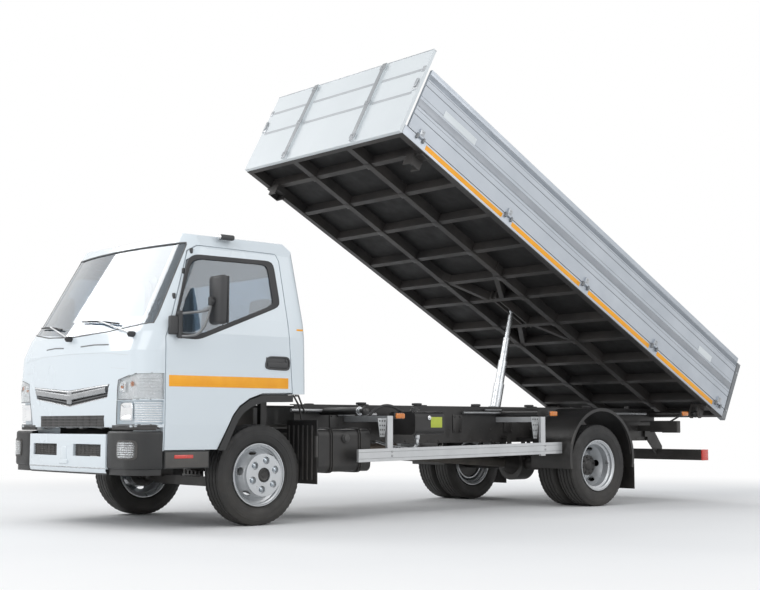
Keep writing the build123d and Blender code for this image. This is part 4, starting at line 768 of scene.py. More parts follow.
# ---------------------------------------------------------------- painted shadow under the lamps
# Painted shadow gap: three black bars in steps, in the rubber finish, darken the strip
# between the front panel's lower edge and the bumper corners.
foot = []
for z, back in ((0.733, -0.955), (0.744, -0.930), (0.7555, -0.901)):
    foot.append(bar([*((x, front_y(x, z, 0.0076), z) for x in (0.61, 0.68, 0.76, 0.83, 0.88, 0.92, 0.95,
                                                               0.97, 0.985)),
                     (0.9870, -0.958, z), (0.9870, back, z)], 0.0098, 8))
# painted shadow in the gap under each lamp, drawn as dark bars
pair(joined(foot), "lamp_gap_shade", seal_rubber, "cab")

# ---------------------------------------------------------------- bumper middle
# White painted pressing with rolled edges, bolted to the frame's stays. BUMPER_FRONT
# and the rest give its plan, which bows and turns a round knee.
soft_bumper = edited(copy_of("bumper"), (bpy.ops.mesh.dissolve_limited, {"angle_limit": radians(1.0)}))
rounded(soft_bumper, 0.010, 4)
put(soft_bumper, "soft_bumper", cab_white, "chassis")
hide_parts("bumper")
BUMPER_FRONT, BUMPER_BOW, KNEE, KNEE_RADIUS = -1.152, 0.020, 0.8225, 0.175


def bumper_y(x):
    """Where the bumper's face stands at x."""
    radius = (KNEE ** 2 + BUMPER_BOW ** 2) / (2 * BUMPER_BOW)
    if abs(x) <= KNEE:
        return BUMPER_FRONT + radius - (radius ** 2 - x ** 2) ** 0.5
    return BUMPER_FRONT + BUMPER_BOW + KNEE_RADIUS - (KNEE_RADIUS ** 2 - (abs(x) - KNEE) ** 2) ** 0.5


lip = bar([(x / 20, bumper_y(x / 20) + 0.002, 0.447) for x in range(-12, 13)], 0.004, 8)
put(lip, "bumper_lip_line", bar_grey, "chassis")
skirt, skirt_x = [], [i / 20 * 0.6 for i in range(-20, 21)]
for (z0, back0), (z1, back1) in (((0.444, 0.002), (0.426, 0.004)), ((0.426, 0.004), (0.412, 0.012))):
    for x0, x1 in zip(skirt_x, skirt_x[1:]):
        skirt += [(x0, bumper_y(x0) + back0 + AXLE, z0), (x1, bumper_y(x1) + back0 + AXLE, z0),
                  (x1, bumper_y(x1) + back1 + AXLE, z1), (x0, bumper_y(x0) + back1 + AXLE, z1)]
quads = [tuple(range(i, i + 4)) for i in range(0, len(skirt), 4)]
piece = walled(meshed("skirt", skirt, quads, 0.0001), 0.004, -1)
smooth(piece, 40)
put(piece, "bumper_skirt", cab_white, "chassis")
tab = joined([block((-0.085, bumper_y(0) - 0.006, 0.470), (0.055, bumper_y(0) + 0.010, 0.505), 0.006, 3),
              block((-0.065, bumper_y(0) - 0.004, 0.500), (0.035, bumper_y(0) + 0.010, 0.600), 0.010, 3)])
put(tab, "bumper_tab", cab_white, "chassis")
mesh_bars = []
for x0, x1 in ((0.130, 0.535), (-0.535, -0.130)):
    mesh_bars.append(block((x0 + 0.004, -1.128, 0.534), (x1 - 0.004, -1.122, 0.618), 0.002))
    for i in range(5):
        z = 0.542 + 0.0165 * i
        mesh_bars.append(bar([(x0 + 0.005, -1.131, z), (x1 - 0.005, -1.131, z)], 0.003, 8))
    for i in range(7):
        x = x0 + 0.02 + (x1 - x0 - 0.04) * i / 6
        mesh_bars.append(bar([(x, -1.130, 0.536), (x, -1.130, 0.616)], 0.0025, 8))
put(joined(mesh_bars), "bumper_mesh", seal_rubber, "chassis")

# ---------------------------------------------------------------- bumper corners
# One grained grey moulding a side, swept from the white middle round the knee to the
# wheel arch, with a rolled top edge. A dark foot of the same plastic runs between them.
grained_grey = finish("grained_grey", (0.014, 0.0145, 0.0155), (0.020, 0.021, 0.022), (0.40, 0.56), scale=4,
                      dust=0.04, grain=520, depth=0.0008)
dress(grained_grey, "bumper_corners", "cab_lower_trim")


def swept(face, profile, tucks):
    """Profile (depth, z) swept along face points (x, y, nx, ny); ends tuck in."""
    verts, faces, count = [], [], len(profile)
    for k, (x, y, nx, ny) in enumerate(face):
        from_end = min(k, len(face) - 1 - k)
        tuck = tucks[from_end] if from_end < len(tucks) else 0.0
        for depth, z in profile:
            verts.append((x - nx * (depth + tuck), y - ny * (depth + tuck) + AXLE, z))
    for k in range(len(face) - 1):
        for j in range(count):
            j2 = (j + 1) % count
            faces.append((k * count + j, k * count + j2, (k + 1) * count + j2, (k + 1) * count + j))
    faces += [tuple(range(count)), tuple(range((len(face) - 1) * count, len(face) * count))]
    piece = meshed("swept", verts, faces)
    smooth(piece, 40)
    return piece


TOP_ROLL, CORNER_TOP, STEPS = 0.020, 0.717, 8
face = [(0.604 + (KNEE - 0.604) * i / STEPS, 0.0, -1.0) for i in range(STEPS + 1)]
face = [(x, bumper_y(x), nx, ny) for x, nx, ny in face]
for i in range(1, 15):
    turn = pi / 2 * i / 14
    face.append((KNEE + KNEE_RADIUS * sin(turn), BUMPER_FRONT + BUMPER_BOW + KNEE_RADIUS * (1 - cos(turn)),
                 sin(turn), -cos(turn)))
face += [(KNEE + KNEE_RADIUS, y, 1.0, 0.0) for y in (-0.945, -0.920, -0.9035, -0.8995, -0.897)]
roll = [(TOP_ROLL * (1 - sin(pi / 2 * i / STEPS)), CORNER_TOP - TOP_ROLL * (1 - cos(pi / 2 * i / STEPS)))
        for i in range(STEPS + 1)]
profile = [(0.026, 0.690), (TOP_ROLL + 0.001, 0.712), *roll, (0.0, 0.66), (0.0, 0.56), (0.0, 0.462),
           (0.003, 0.452), (0.009, 0.446), (0.016, 0.444), (0.016, 0.402), (0.026, 0.402)]
left, right = pair(swept(face, profile, (0.014, 0.005, 0.001)), "bumper_corner", grained_grey, "chassis")
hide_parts("bumper_corners")
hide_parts("bumper_corners")
under = [(x / 20, bumper_y(x / 20), 0.0, -1.0) for x in range(-12, 13)]
put(swept(under, [(0.016, 0.412), (0.016, 0.400), (0.038, 0.400), (0.038, 0.444), (0.026, 0.444)], ()),
    "bumper_foot", grained_grey, "chassis")

# ---------------------------------------------------------------- fog lamps
# Square clear lens over a ribbed silver reflector, in a black rubber rim, screwed to
# the bumper corner from behind.


def patch(x, z, half_x, half_z, lay, thick, square=5.0):
    """Rounded panel that follows a surface; lay(x) is how far back it stands."""
    steps, rings = 44, 6
    verts, faces = [(x, lay(x) + AXLE, z)], []
    for j in range(1, rings + 1):
        for i in range(steps):
            a = tau * i / steps
            dx = abs(cos(a)) ** (2 / square) * (1 if cos(a) > 0 else -1) * half_x * j / rings
            dz = abs(sin(a)) ** (2 / square) * (1 if sin(a) > 0 else -1) * half_z * j / rings
            verts.append((x + dx, lay(x + dx) + AXLE, z + dz))
    for i in range(steps):
        far = (i + 1) % steps
        faces.append((0, 1 + i, 1 + far))
        for j in range(rings - 1):
            near = 1 + j * steps
            faces.append((near + i, near + steps + i, near + steps + far, near + far))
    piece = walled(meshed("patch", verts, faces), thick)
    rounded(piece, thick * 0.3)
    return piece


FOG_X, FOG_Z, FOG_HALF_X, FOG_HALF_Z = 0.852, 0.583, 0.086, 0.060
pane = patch(FOG_X, FOG_Z, FOG_HALF_X, FOG_HALF_Z, lambda x: bumper_y(x) - 0.007, 0.002)
rim = patch(FOG_X, FOG_Z, FOG_HALF_X + 0.012, FOG_HALF_Z + 0.012, lambda x: bumper_y(x) - 0.0015, 0.006)
backing = patch(FOG_X, FOG_Z, FOG_HALF_X + 0.001, FOG_HALF_Z + 0.001, lambda x: bumper_y(x) - 0.0030, 0.003)
ribs = []
for dz, half in ((-0.048, 0.070), (-0.032, 0.076), (-0.016, 0.078), (0, 0.078), (0.016, 0.078),
                 (0.032, 0.076), (0.048, 0.070)):
    across = [FOG_X + share * half for share in (-1, -0.7, -0.4, -0.1, 0.2, 0.5, 0.8, 1)]
    ribs.append(bar([(x, bumper_y(x) - 0.0030, FOG_Z + dz) for x in across], 0.0032, 8))
left, right = pair(pane, "fog_lens", lens_clear, "chassis")
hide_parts("fog_lamps")
pair(rim, "fog_rim", seal_rubber, "chassis")
pair(backing, "fog_backing", silvered, "chassis")
pair(joined(ribs), "fog_ribs", chrome, "chassis")

# ---------------------------------------------------------------- lower cab trim
# Black moulded step panel ahead of each front wheel, clipped under the door, with a
# small red reflector let into it.
step_panel = joined([block((0.958, -0.876, 0.452), (0.993, -0.504, 0.570), 0.010, 3),
                     block((0.930, -0.850, 0.566), (0.985, -0.530, 0.574), 0.003)])
pair(step_panel, "step_panel", moulded_black, "cab")
red_glass = finish("red_reflector", (0.75, 0.03, 0.02), (0.60, 0.02, 0.015), (0.15, 0.3), coat=0.8, scale=30)
pair(block((0.990, -0.800, 0.520), (0.996, -0.640, 0.546), 0.003), "step_reflector", red_glass,
     "cab")

# ---------------------------------------------------------------- wheels
# Pressed steel wheels in silver paint, each held by six plated nuts with washers on
# the studs of its bolt circle.
wheel_silver = finish("wheel_silver", (0.60, 0.62, 0.64), (0.52, 0.54, 0.56), (0.26, 0.40), metallic=0.5,
                      scale=6, dust=0.18, dust_top=0.8, grain=260, depth=0.0003)
dress(wheel_silver, "wheel_front_left", "wheel_front_right", "wheels_rear_left", "wheels_rear_right")
nut_zinc = finish("nut_zinc", (0.55, 0.62, 0.68), (0.42, 0.46, 0.50), (0.18, 0.3), metallic=0.95, scale=40,
                  dust=0.2, grain=900, depth=0.0002)
WHEEL_X, AXLE_Z, REAR_AXLE, BOLT_CIRCLE = 0.837, 0.3835, 3.850, 0.111125


def spun(profile, y, steps, vary=None):
    """Surface through x, r points turned about a wheel's axle; vary(step, x, r) may move a point."""
    verts, faces = [], []
    count = len(profile)
    for i in range(steps):
        a = tau * i / steps
        for x, r in profile:
            px, pr = vary(i, x, r) if vary else (x, r)
            verts.append((px, y + AXLE + pr * cos(a), AXLE_Z + pr * sin(a)))
        for j in range(count - 1):
            near, far = i * count + j, (i + 1) % steps * count + j
            faces.append((near, near + 1, far + 1, far))
    piece = meshed("spun", verts, faces, 0.00001)
    smooth(piece, 32)
    return piece


def wheel_nut(x, y, angle, reach, size=0.016, tall=0.017):
    """Hexagon nut with a domed cap and the stud's end, on a wheel's bolt circle."""
    place = (x + tall / 2, y + reach * cos(angle), AXLE_Z + reach * sin(angle))
    nut = disc(place, size, tall, "X", 6, 0.0025)
    foot = disc((x + 0.003, place[1], place[2]), size * 1.18, 0.006, "X", 20, 0.0015)
    end = disc((x + tall + 0.002, place[1], place[2]), size * 0.56, 0.006, "X", 14, 0.0018)
    return [nut, foot, end]


for body, y, face, turn in (("wheel_front_left", 0, 0.9655, 20),
                            ("wheels_rear_left", REAR_AXLE, 0.8495, -25)):
    nuts = []
    for i in range(6):
        nuts += wheel_nut(face, y, radians(turn + 60 * i), BOLT_CIRCLE)
    pair(joined(nuts), "nuts_" + ("rear" if y else "front"), nut_zinc, body)

# ---------------------------------------------------------------- hubs and valves
# Black painted caps: pressed ones in front, cast rear hubs with their own ring of
# small bolts, and a bent valve stem on each wheel.
hub_black = finish("hub_black", (0.012, 0.012, 0.013), (0.022, 0.022, 0.023), (0.3, 0.45), scale=16,
                   dust=0.08, grain=260, depth=0.0004)
cap = spun([(0.9623, 0.0512), (0.9805, 0.0514), (0.9850, 0.0470), (0.9885, 0.0405), (0.9870, 0.0380),
            (0.9870, 0.0210), (0.9900, 0.0190), (0.9905, 0.0)], 0, 48)
pair(cap, "front_hub_caps", hub_black, "wheel_front_left")
hub = [spun([(0.8500, 0.0732), (0.9060, 0.0734), (0.9100, 0.0955), (0.9290, 0.0958), (0.9300, 0.0840),
             (0.9330, 0.0560), (0.9440, 0.0460), (0.9470, 0.0380), (0.9475, 0.0)], REAR_AXLE, 48)]
for i in range(8):
    hub += wheel_nut(0.9295, REAR_AXLE, tau * (i + 0.3) / 8, 0.0745, 0.0085, 0.008)
pair(joined(hub), "rear_hubs", hub_black, "wheels_rear_left")
for body, y, x, r, turn in (("wheel_front_left", 0, 0.905, 0.196, 50),
                            ("wheels_rear_left", REAR_AXLE, 1.000, 0.190, 5)):
    a = radians(turn)
    stem = bar([(x - 0.02, y + (r + 0.004) * cos(a), AXLE_Z + (r + 0.004) * sin(a)),
                (x + 0.025, y + (r - 0.006) * cos(a), AXLE_Z + (r - 0.006) * sin(a))], 0.004)
    pair(stem, "valves_" + ("rear" if y else "front"), hub_black, body)

# ---------------------------------------------------------------- tyres
# Ribbed road tyres: four zigzag grooves round the tread, cuts across the shoulders,
# and raised rings on the sidewalls, all bare of lettering.
tyre_rubber = finish("tyre_rubber", (0.011, 0.011, 0.012), (0.020, 0.020, 0.020), (0.5, 0.7), scale=7,
                     dust=0.10, dust_top=0.75, grain=320, depth=0.0007)
SIDEWALL = ((0.0725, 0.2229), (0.0772, 0.2420), (0.0800, 0.2450), (0.0845, 0.2500), (0.0900, 0.2560),
            (0.0905, 0.2585), (0.0935, 0.2600), (0.0990, 0.2800), (0.1035, 0.3000), (0.1036, 0.3030),
            (0.1056, 0.3045), (0.1064, 0.3200), (0.1066, 0.3320), (0.1050, 0.3340), (0.1045, 0.3450),
            (0.1030, 0.3465), (0.0990, 0.3590), (0.0935, 0.3700), (0.0895, 0.3775), (0.0860, 0.3815))
TREAD_STEPS = 168
GROOVE_DEPTH = 0.0105
half_tread = []
for at, wide in ((0.0620, 0.0048), (0.0215, 0.0052)):
    half_tread += [(at + wide, 0.3830), (at + wide * 0.6, 0.3830 - GROOVE_DEPTH),
                   (at - wide * 0.6, 0.3830 - GROOVE_DEPTH), (at - wide, 0.3830)]
TREAD = [*SIDEWALL, (0.0800, 0.3825), *half_tread, (0.0, 0.3834)]
TREAD += [(-x, r) for x, r in reversed(TREAD[:-1])]


def cut_tread(i, x, r):
    """Zigzag the grooves along the tread and notch the shoulders."""
    if abs(x) < 0.070 and r > 0.3650:
        x += 0.0016 * (1 if i % 4 < 2 else -1)
        if i % 7 == 0 and r > 0.38:
            r -= 0.0022
    if 0.079 < abs(x) < 0.1 and r > 0.3650 and i % 3 == 0:
        r -= 0.0045
    return x, r


def road_tyre(centre, y):
    """One tyre with its middle at x = centre, round the axle at y."""
    def cut(i, x, r):
        """Tread cut round this tyre's own middle."""
        x, r = cut_tread(i, x - centre, r)
        return centre + x, r
    return spun([(centre + x, r) for x, r in TREAD], y, TREAD_STEPS, cut)


TWIN_OFFSET = 0.125                        # each rear twin from their shared middle
for name, body, tyres in (("tyre_front", "wheel_front_left", [road_tyre(WHEEL_X, 0)]),
                          ("tyres_rear", "wheels_rear_left", [road_tyre(WHEEL_X + TWIN_OFFSET, REAR_AXLE),
                                                              road_tyre(WHEEL_X - TWIN_OFFSET, REAR_AXLE)])):
    left, right = pair(joined(tyres), "road_" + name, tyre_rubber, body)
    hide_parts(name + "_left")
    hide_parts(name + "_right")

# ---------------------------------------------------------------- mirrors
# Rounded black heads on grey tube arms that swing from a post on the door's corner.
tube_grey = finish("tube_grey", (0.20, 0.205, 0.21), (0.15, 0.155, 0.16), (0.28, 0.4), metallic=0.6, scale=10,
                   dust=0.1, grain=500)


def soft_block(low, high, edge, taper):
    """Rounded block that narrows towards its foot and bulges towards the front."""
    piece = block(low, high, edge, 5)
    for vert in piece.data.vertices:
        share = (vert.co.z - low[2]) / (high[2] - low[2])
        middle = (low[0] + high[0]) / 2
        vert.co.x = middle + (vert.co.x - middle) * (1 - taper * (1 - share) ** 2)
        if vert.co.y - AXLE < (low[1] + high[1]) / 2:
            across = (vert.co.x - middle) / (high[0] - low[0])
            vert.co.y += 0.028 * (across * 2) ** 2 + 0.012 * (2 * share - 1) ** 4
    smooth(piece, 40)
    return piece


head = soft_block((1.083, -0.615, 1.492), (1.262, -0.522, 1.852), 0.026, 0.12)
rim_line = block((1.088, -0.530, 1.500), (1.257, -0.516, 1.845), 0.010, 4)
joint = [disc((1.172, -0.608, 1.660), 0.024, 0.040, "Y", 24, 0.006),
         block((1.156, -0.640, 1.625), (1.188, -0.600, 1.690), 0.010, 3)]
post = [block((0.990, -0.872, 1.415), (1.034, -0.802, 1.552), 0.012, 4),
        bar([(1.030, -0.790, 1.388), (1.030, -0.790, 1.588)], 0.019, 16),
        block((1.008, -0.812, 1.395), (1.046, -0.772, 1.420), 0.008),
        block((1.008, -0.812, 1.555), (1.046, -0.772, 1.580), 0.008)]
left, right = pair(joined([head, rim_line, *joint, *post]), "mirror_body", moulded_black, "door_left")
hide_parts("mirror_left")
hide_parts("mirror_right")
arms = [bar([(1.030, -0.790, 1.568), (1.075, -0.735, 1.575), (1.160, -0.655, 1.585), (1.172, -0.625, 1.610),
             (1.172, -0.618, 1.660)], 0.010, 16, 3),
        bar([(1.030, -0.790, 1.405), (1.080, -0.745, 1.402), (1.140, -0.690, 1.420), (1.172, -0.640, 1.530),
             (1.172, -0.618, 1.640)], 0.010, 16, 3)]
pair(joined(arms), "mirror_arms", tube_grey, "door_left")
mirror_glass = finish("mirror_glass", (0.82, 0.85, 0.88), (0.78, 0.81, 0.84), (0.02, 0.05), metallic=1.0,
                      scale=5, dust=0.05, grain=40, depth=0.00002)
pair(joined([block((1.100, -0.518, 1.560), (1.246, -0.513, 1.835), 0.002),
             block((1.105, -0.518, 1.512), (1.240, -0.513, 1.550), 0.002)]),
     "mirror_glasses", mirror_glass, "door_left")

# ---------------------------------------------------------------- roof lamps
# Clearance lamp on each roof corner: clear dome on a black moulded body.
body = block((0.868, -0.368, 2.166), (0.918, -0.236, 2.207), 0.016, 4)
pair(body, "roof_lamp_bodies", moulded_black, "cab")
dome = block((0.872, -0.396, 2.170), (0.914, -0.350, 2.203), 0.018, 5)
pair(dome, "roof_lamp_domes", chrome, "cab")

# ---------------------------------------------------------------- cab linings
# Grey moulded lining on the inside of the shell, and a card on each door, pressed on
# with clips.
lining_grey = finish("lining_grey", (0.16, 0.165, 0.17), (0.13, 0.135, 0.14), (0.7, 0.85), scale=3, dust=0,
                     grain=420, depth=0.0005)


def lining(node, keep):
    """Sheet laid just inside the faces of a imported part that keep() picks."""
    piece = walled(faces_kept(copy_of(node), keep), 0.003, 1)
    smooth(piece, 30)
    return piece


ROOM = Vector((0, AXLE - 0.35, 1.62))


def faces_room(face):
    """True for a face above the floor that looks into the cab."""
    way = ROOM - face.center
    return way.length < 1.6 and face.center.z > 1.02 and face.normal.dot(way.normalized()) > 0.33


put(lining("cab_shell", faces_room), "cab_lining", lining_grey, "cab")
put(lining("door_left", lambda face: faces_room(face) and face.normal.x < -0.6), "door_card_left",
    lining_grey, "door_left")
put(lining("door_right", lambda face: faces_room(face) and face.normal.x > 0.6), "door_card_right",
    lining_grey, "door_right")

# ---------------------------------------------------------------- dashboard
# Dark moulded dashboard and steering wheel, with a grey hood over the dials, a middle
# panel, a glove box and three round knobs.
dash_dark = finish("dash_dark", (0.045, 0.047, 0.050), (0.06, 0.062, 0.065), (0.5, 0.65), scale=5, dust=0,
                   grain=420, depth=0.0005)
dress(dash_dark, "dashboard", "steering_wheel")
hood = block((0.36, -0.93, 1.240), (0.82, -0.760, 1.318), 0.030, 4)
dash_parts = [hood, block((-0.22, -0.775, 1.10), (0.16, -0.735, 1.235), 0.012, 3),
              block((-0.80, -0.772, 1.14), (-0.34, -0.738, 1.22), 0.010, 3)]
for x in (-0.16, -0.06, 0.10):
    dash_parts.append(disc((x, -0.728, 1.13), 0.018, 0.02, "Y", 20, 0.004))
put(joined(dash_parts), "dash_details", lining_grey, "cab")

# ---------------------------------------------------------------- seats
# Three seats with foam cushions, backs and head rests under dark woven cloth, with a
# sewn seam near each side. The head rests stand on chromed stems.
seat_cloth = finish("seat_cloth", (0.075, 0.080, 0.090), (0.10, 0.105, 0.115), (0.8, 0.95), scale=14, dust=0,
                    grain=1100, depth=0.0012, Sheen_Weight=0.3)


def pad(x0, x1, side, crown):
    """Crowned cushion on a side section (y, z): softened box whose faces swell in their middle."""
    inset = 0.012
    verts = [(x, y + AXLE, z) for x in (x0 + inset, x1 - inset) for y, z in side]
    piece = meshed("pad", verts, [(0, 1, 2, 3), (7, 6, 5, 4), (0, 4, 5, 1), (1, 5, 6, 2), (2, 6, 7, 3),
                                  (3, 7, 4, 0)])
    mesh = piece.data
    edited(piece, (bpy.ops.mesh.subdivide, {"number_cuts": 11}))
    middle = sum((vert.co for vert in mesh.vertices), Vector()) / len(mesh.vertices)
    size = Vector([max(vert.co[i] for vert in mesh.vertices) - min(vert.co[i] for vert in mesh.vertices)
                   for i in range(3)])
    for vert in mesh.vertices:
        away = [min(1, abs(vert.co[i] - middle[i]) / (size[i] / 2)) for i in range(3)]
        swell = 1
        for share in sorted(away)[:2]:
            swell *= 1 - share ** 4
        seam = 0.006 if abs(abs(vert.co.x - middle.x) / (size.x / 2) - 0.62) < 0.06 else 0
        vert.co += (vert.co - middle).normalized() * (crown * swell - seam)
    modified(piece, "SMOOTH", factor=0.5, iterations=4)
    modified(piece, "SUBSURF", levels=1)
    smooth(piece, 60)
    return piece


SEATS = ((0.330, 0.850), (-0.350, 0.145), (-0.850, -0.355))      # each from x to x
cushions = []
for x0, x1 in SEATS:
    cushions.append(pad(x0, x1, ((-0.410, 1.050), (0.135, 1.050), (0.122, 1.170), (-0.410, 1.196)), 0.014))
    cushions.append(pad(x0, x1, ((0.150, 1.055), (0.246, 1.055), (0.288, 1.520), (0.190, 1.520)), 0.010))
    middle = (x0 + x1) / 2
    cushions.append(pad(middle - 0.14, middle + 0.14, ((0.205, 1.560), (0.285, 1.560), (0.300, 1.760),
                                                       (0.228, 1.760)), 0.008))
seats = put(joined(cushions), "seat_pads", seat_cloth, "cab")
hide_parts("seats")
stems = []
for x0, x1 in SEATS:
    middle = (x0 + x1) / 2
    stems += [bar([(middle + dx, 0.240, 1.50), (middle + dx, 0.246, 1.60)], 0.006) for dx in (-0.06, 0.06)]
put(joined(stems), "headrest_stems", chrome, "cab")

# ---------------------------------------------------------------- load bed
# Aluminium sides, a white headboard and a worn steel floor on a black welded grid. Its
# pieces are drawn lowered, in u back from its front and v up from its underside, and
# then tipped about the rear pivot.
BED_FRONT, BED_FOOT = 0.701, 0.965         # where u and v start
HINGE_U = (0.188, 1.398, 2.575, 3.739, 4.925)
BED_END = 5.054
PIVOT, TIP = Vector((0, 5.520 + AXLE, 0.876)), radians(27.7)
TIPPED = Matrix.Translation(PIVOT) @ Matrix.Rotation(-TIP, 4, "X") @ Matrix.Translation(-PIVOT)


def on_bed(low, high, edge=0.002, steps=2):
    """Block between two corners given as x, u, v on the lowered bed."""
    low, high = [(x, BED_FRONT + u, BED_FOOT + v) for x, u, v in (low, high)]
    return block(low, high, edge, steps)


def tipped(piece):
    """A piece drawn on the lowered bed, turned up with it."""
    piece.data.transform(TIPPED)
    return piece


aluminium = finish("side_aluminium", (0.52, 0.555, 0.60), (0.46, 0.495, 0.54), (0.38, 0.5), metallic=0.5,
                   scale=3, dust=0.2, grain=500, depth=0.0003)
dress(aluminium, "drop_side_left", "drop_side_right", "tailgate")
bed_black = finish("bed_black", (0.022, 0.021, 0.021), (0.046, 0.041, 0.038), (0.45, 0.65), scale=3, dust=0.3,
                   grain=220, depth=0.0006)
dress(bed_black, "bed_frame")
under_black = finish("under_black", (0.005, 0.005, 0.005), (0.012, 0.011, 0.011), (0.6, 0.8), scale=4,
                     dust=0.15, grain=200, depth=0.0006)
dress(under_black, "bed_floor")
board_white = finish("board_white", (0.74, 0.78, 0.80), (0.70, 0.74, 0.76), (0.36, 0.46), coat=0.2, scale=2,
                     dust=0.2, grain=600, depth=0.0001)
dress(board_white, "headboard")
post_grey = finish("post_grey", (0.24, 0.25, 0.26), (0.19, 0.20, 0.21), (0.4, 0.55), metallic=0.4, scale=6,
                   dust=0.3, grain=300)
dress(post_grey, "end_posts", "bed_hinges")

floor_worn = finish("floor_worn", (0.24, 0.23, 0.22), (0.15, 0.13, 0.12), (0.35, 0.65), metallic=0.7, scale=5,
                    dust=0.5, dust_top=4.5, grain=160, depth=0.0008)
plates, PLATE_LENGTH = [], (BED_END - 0.008) / 5
for i in range(5):
    u0 = 0.004 + i * PLATE_LENGTH
    plates.append(on_bed((-1.070, u0 + 0.002, 0.0968), (1.070, u0 + PLATE_LENGTH - 0.002, 0.1000), 0.001))
put(tipped(joined(plates)), "floor_plates", floor_worn, "bed")

# ---------------------------------------------------------------- edge rails and tape
# Aluminium cover along each side of the bed's frame, with orange reflecting tape
# stuck on between the hinges.
cover = on_bed((1.1165, 0.002, 0.010), (1.1190, BED_END, 0.0925), 0.001)
pair(tipped(cover), "edge_rail", aluminium, "bed")
tape, start, HINGE_ROOM = [], 0.280, 0.070
for u in (*HINGE_U[1:4], 4.840 + HINGE_ROOM):
    tape.append(on_bed((1.1185, start, 0.032), (1.1200, u - HINGE_ROOM, 0.076), 0.0005))
    start = u + HINGE_ROOM
pair(tipped(joined(tape)), "bed_tape", stripe_orange, "bed")

# ---------------------------------------------------------------- drop sides
# Extruded aluminium planks with dark joint lines, a raised band, a dark top band under
# its rail, and two blank white panels riveted on.
dark_band = finish("dark_band", (0.26, 0.285, 0.32), (0.22, 0.245, 0.275), (0.4, 0.55), metallic=0.5,
                   scale=4, dust=0.2)
PLANK_START, PLANK_END, PLANK_FACE = 0.042, 5.060, 1.1125
lines = []
for v in (0.244, 0.543):
    lines.append(on_bed((PLANK_FACE - 0.004, PLANK_START, v - 0.004), (PLANK_FACE, PLANK_END, v + 0.004),
                        0.0005))
for v in (0.298, 0.327, 0.397, 0.430, 0.596, 0.655):
    lines.append(on_bed((PLANK_FACE, PLANK_START, v - 0.0015), (PLANK_FACE + 0.0015, PLANK_END, v + 0.0015),
                        0.0004))
line_grey = finish("line_grey", (0.20, 0.215, 0.235), (0.16, 0.175, 0.19), (0.5, 0.6), scale=6, dust=0.1)
pair(tipped(joined(lines)), "plank_lines", line_grey, "drop_side_left")
band_grey = finish("band_grey", (0.34, 0.36, 0.39), (0.30, 0.32, 0.35), (0.4, 0.5), metallic=0.4, scale=4,
                   dust=0.15)
band = on_bed((1.1122, PLANK_START, 0.332), (1.1150, PLANK_END, 0.392), 0.001)
pair(tipped(band), "plank_band", band_grey, "drop_side_left")
band = on_bed((1.1122, PLANK_START, 0.611), (1.1142, PLANK_END, 0.650), 0.001)
pair(tipped(band), "top_band", dark_band, "drop_side_left")
rail = [on_bed((1.084, 0.041, 0.690), (1.1160, 5.061, 0.7085), 0.004),
        on_bed((1.1118, 0.041, 0.660), (1.1150, 5.061, 0.692), 0.001)]
pair(tipped(joined(rail)), "top_rail", aluminium, "drop_side_left")
blank = [on_bed((1.1140, u0, 0.418), (1.1152, u1, 0.486), 0.0008)
         for u0, u1 in ((0.330, 0.760), (4.400, 4.640))]
pair(tipped(joined(blank)), "blank_panels", board_white, "drop_side_left")

# ---------------------------------------------------------------- hinge clips
# Zinc plated plates over the drop sides' hinge straps, held by two bolts each.
clip_zinc = finish("clip_zinc", (0.50, 0.52, 0.54), (0.38, 0.40, 0.42), (0.3, 0.5), metallic=0.8, scale=20,
                   dust=0.3)
clips = []
for u in HINGE_U:
    clips.append(on_bed((1.1315, u - 0.024, 0.108), (1.1350, u + 0.024, 0.160), 0.002))
    for v in (0.122, 0.148):
        clips.append(disc((1.1375, BED_FRONT + u, BED_FOOT + v), 0.0085, 0.006, "X", 6, 0.0015))
pair(tipped(joined(clips)), "hinge_clips", clip_zinc, "drop_side_left")

# ---------------------------------------------------------------- headboard
# White steel board stiffened by two grey ribs with bolted clips and by pressed lines
# whose shade is painted on as grey strips, a zinc edging on top, and latches that hold the drop sides.
rib_grey = finish("rib_grey", (0.36, 0.375, 0.39), (0.30, 0.315, 0.33), (0.4, 0.55), metallic=0.3, scale=6,
                  dust=0.2)
ribs = []
for x in (-0.485, 0.500):
    ribs.append(on_bed((x - 0.026, -0.0565, 0.012), (x + 0.026, -0.0535, 0.868), 0.001))
    for v in (0.06, 0.43, 0.82):
        ribs.append(on_bed((x - 0.036, -0.0600, v - 0.022), (x + 0.036, -0.0530, v + 0.022), 0.003))
        ribs.append(disc((x, BED_FRONT - 0.0610, BED_FOOT + v), 0.008, 0.006, "Y", 6, 0.0015))
put(tipped(joined(ribs)), "headboard_ribs", rib_grey, "bed")
# painted shade of the pressed lines, drawn as grey strips on the white board
pressed = []
for v in (0.410, 0.655):
    for x0, x1 in ((-1.06, -0.53), (-0.44, 0.455), (0.545, 1.06)):
        pressed.append(on_bed((x0, -0.0340, v - 0.004), (x1, -0.0318, v + 0.024), 0.001))
pressing_shade_grey = finish("pressing_shade_grey", (0.50, 0.52, 0.54), (0.46, 0.48, 0.50), (0.4, 0.5), scale=5, dust=0.1)
put(tipped(joined(pressed)), "headboard_line_shade", pressing_shade_grey, "bed")
latches = []
for side in (1, -1):
    for x, half, (u0, u1), (v0, v1), edge in ((1.085, 0.030, (-0.040, -0.031), (0.440, 0.530), 0.004),
                                              (1.085, 0.012, (-0.052, -0.036), (0.470, 0.560), 0.005),
                                              (1.095, 0.020, (-0.038, -0.031), (0.640, 0.700), 0.004)):
        latches.append(on_bed((side * x - half, u0, v0), (side * x + half, u1, v1), edge,
                              3 if half < 0.02 else 2))
latches.append(on_bed((-1.1185, -0.0345, 0.874), (1.1185, 0.0015, 0.8850), 0.003))
put(tipped(joined(latches)), "headboard_latches", clip_zinc, "bed")

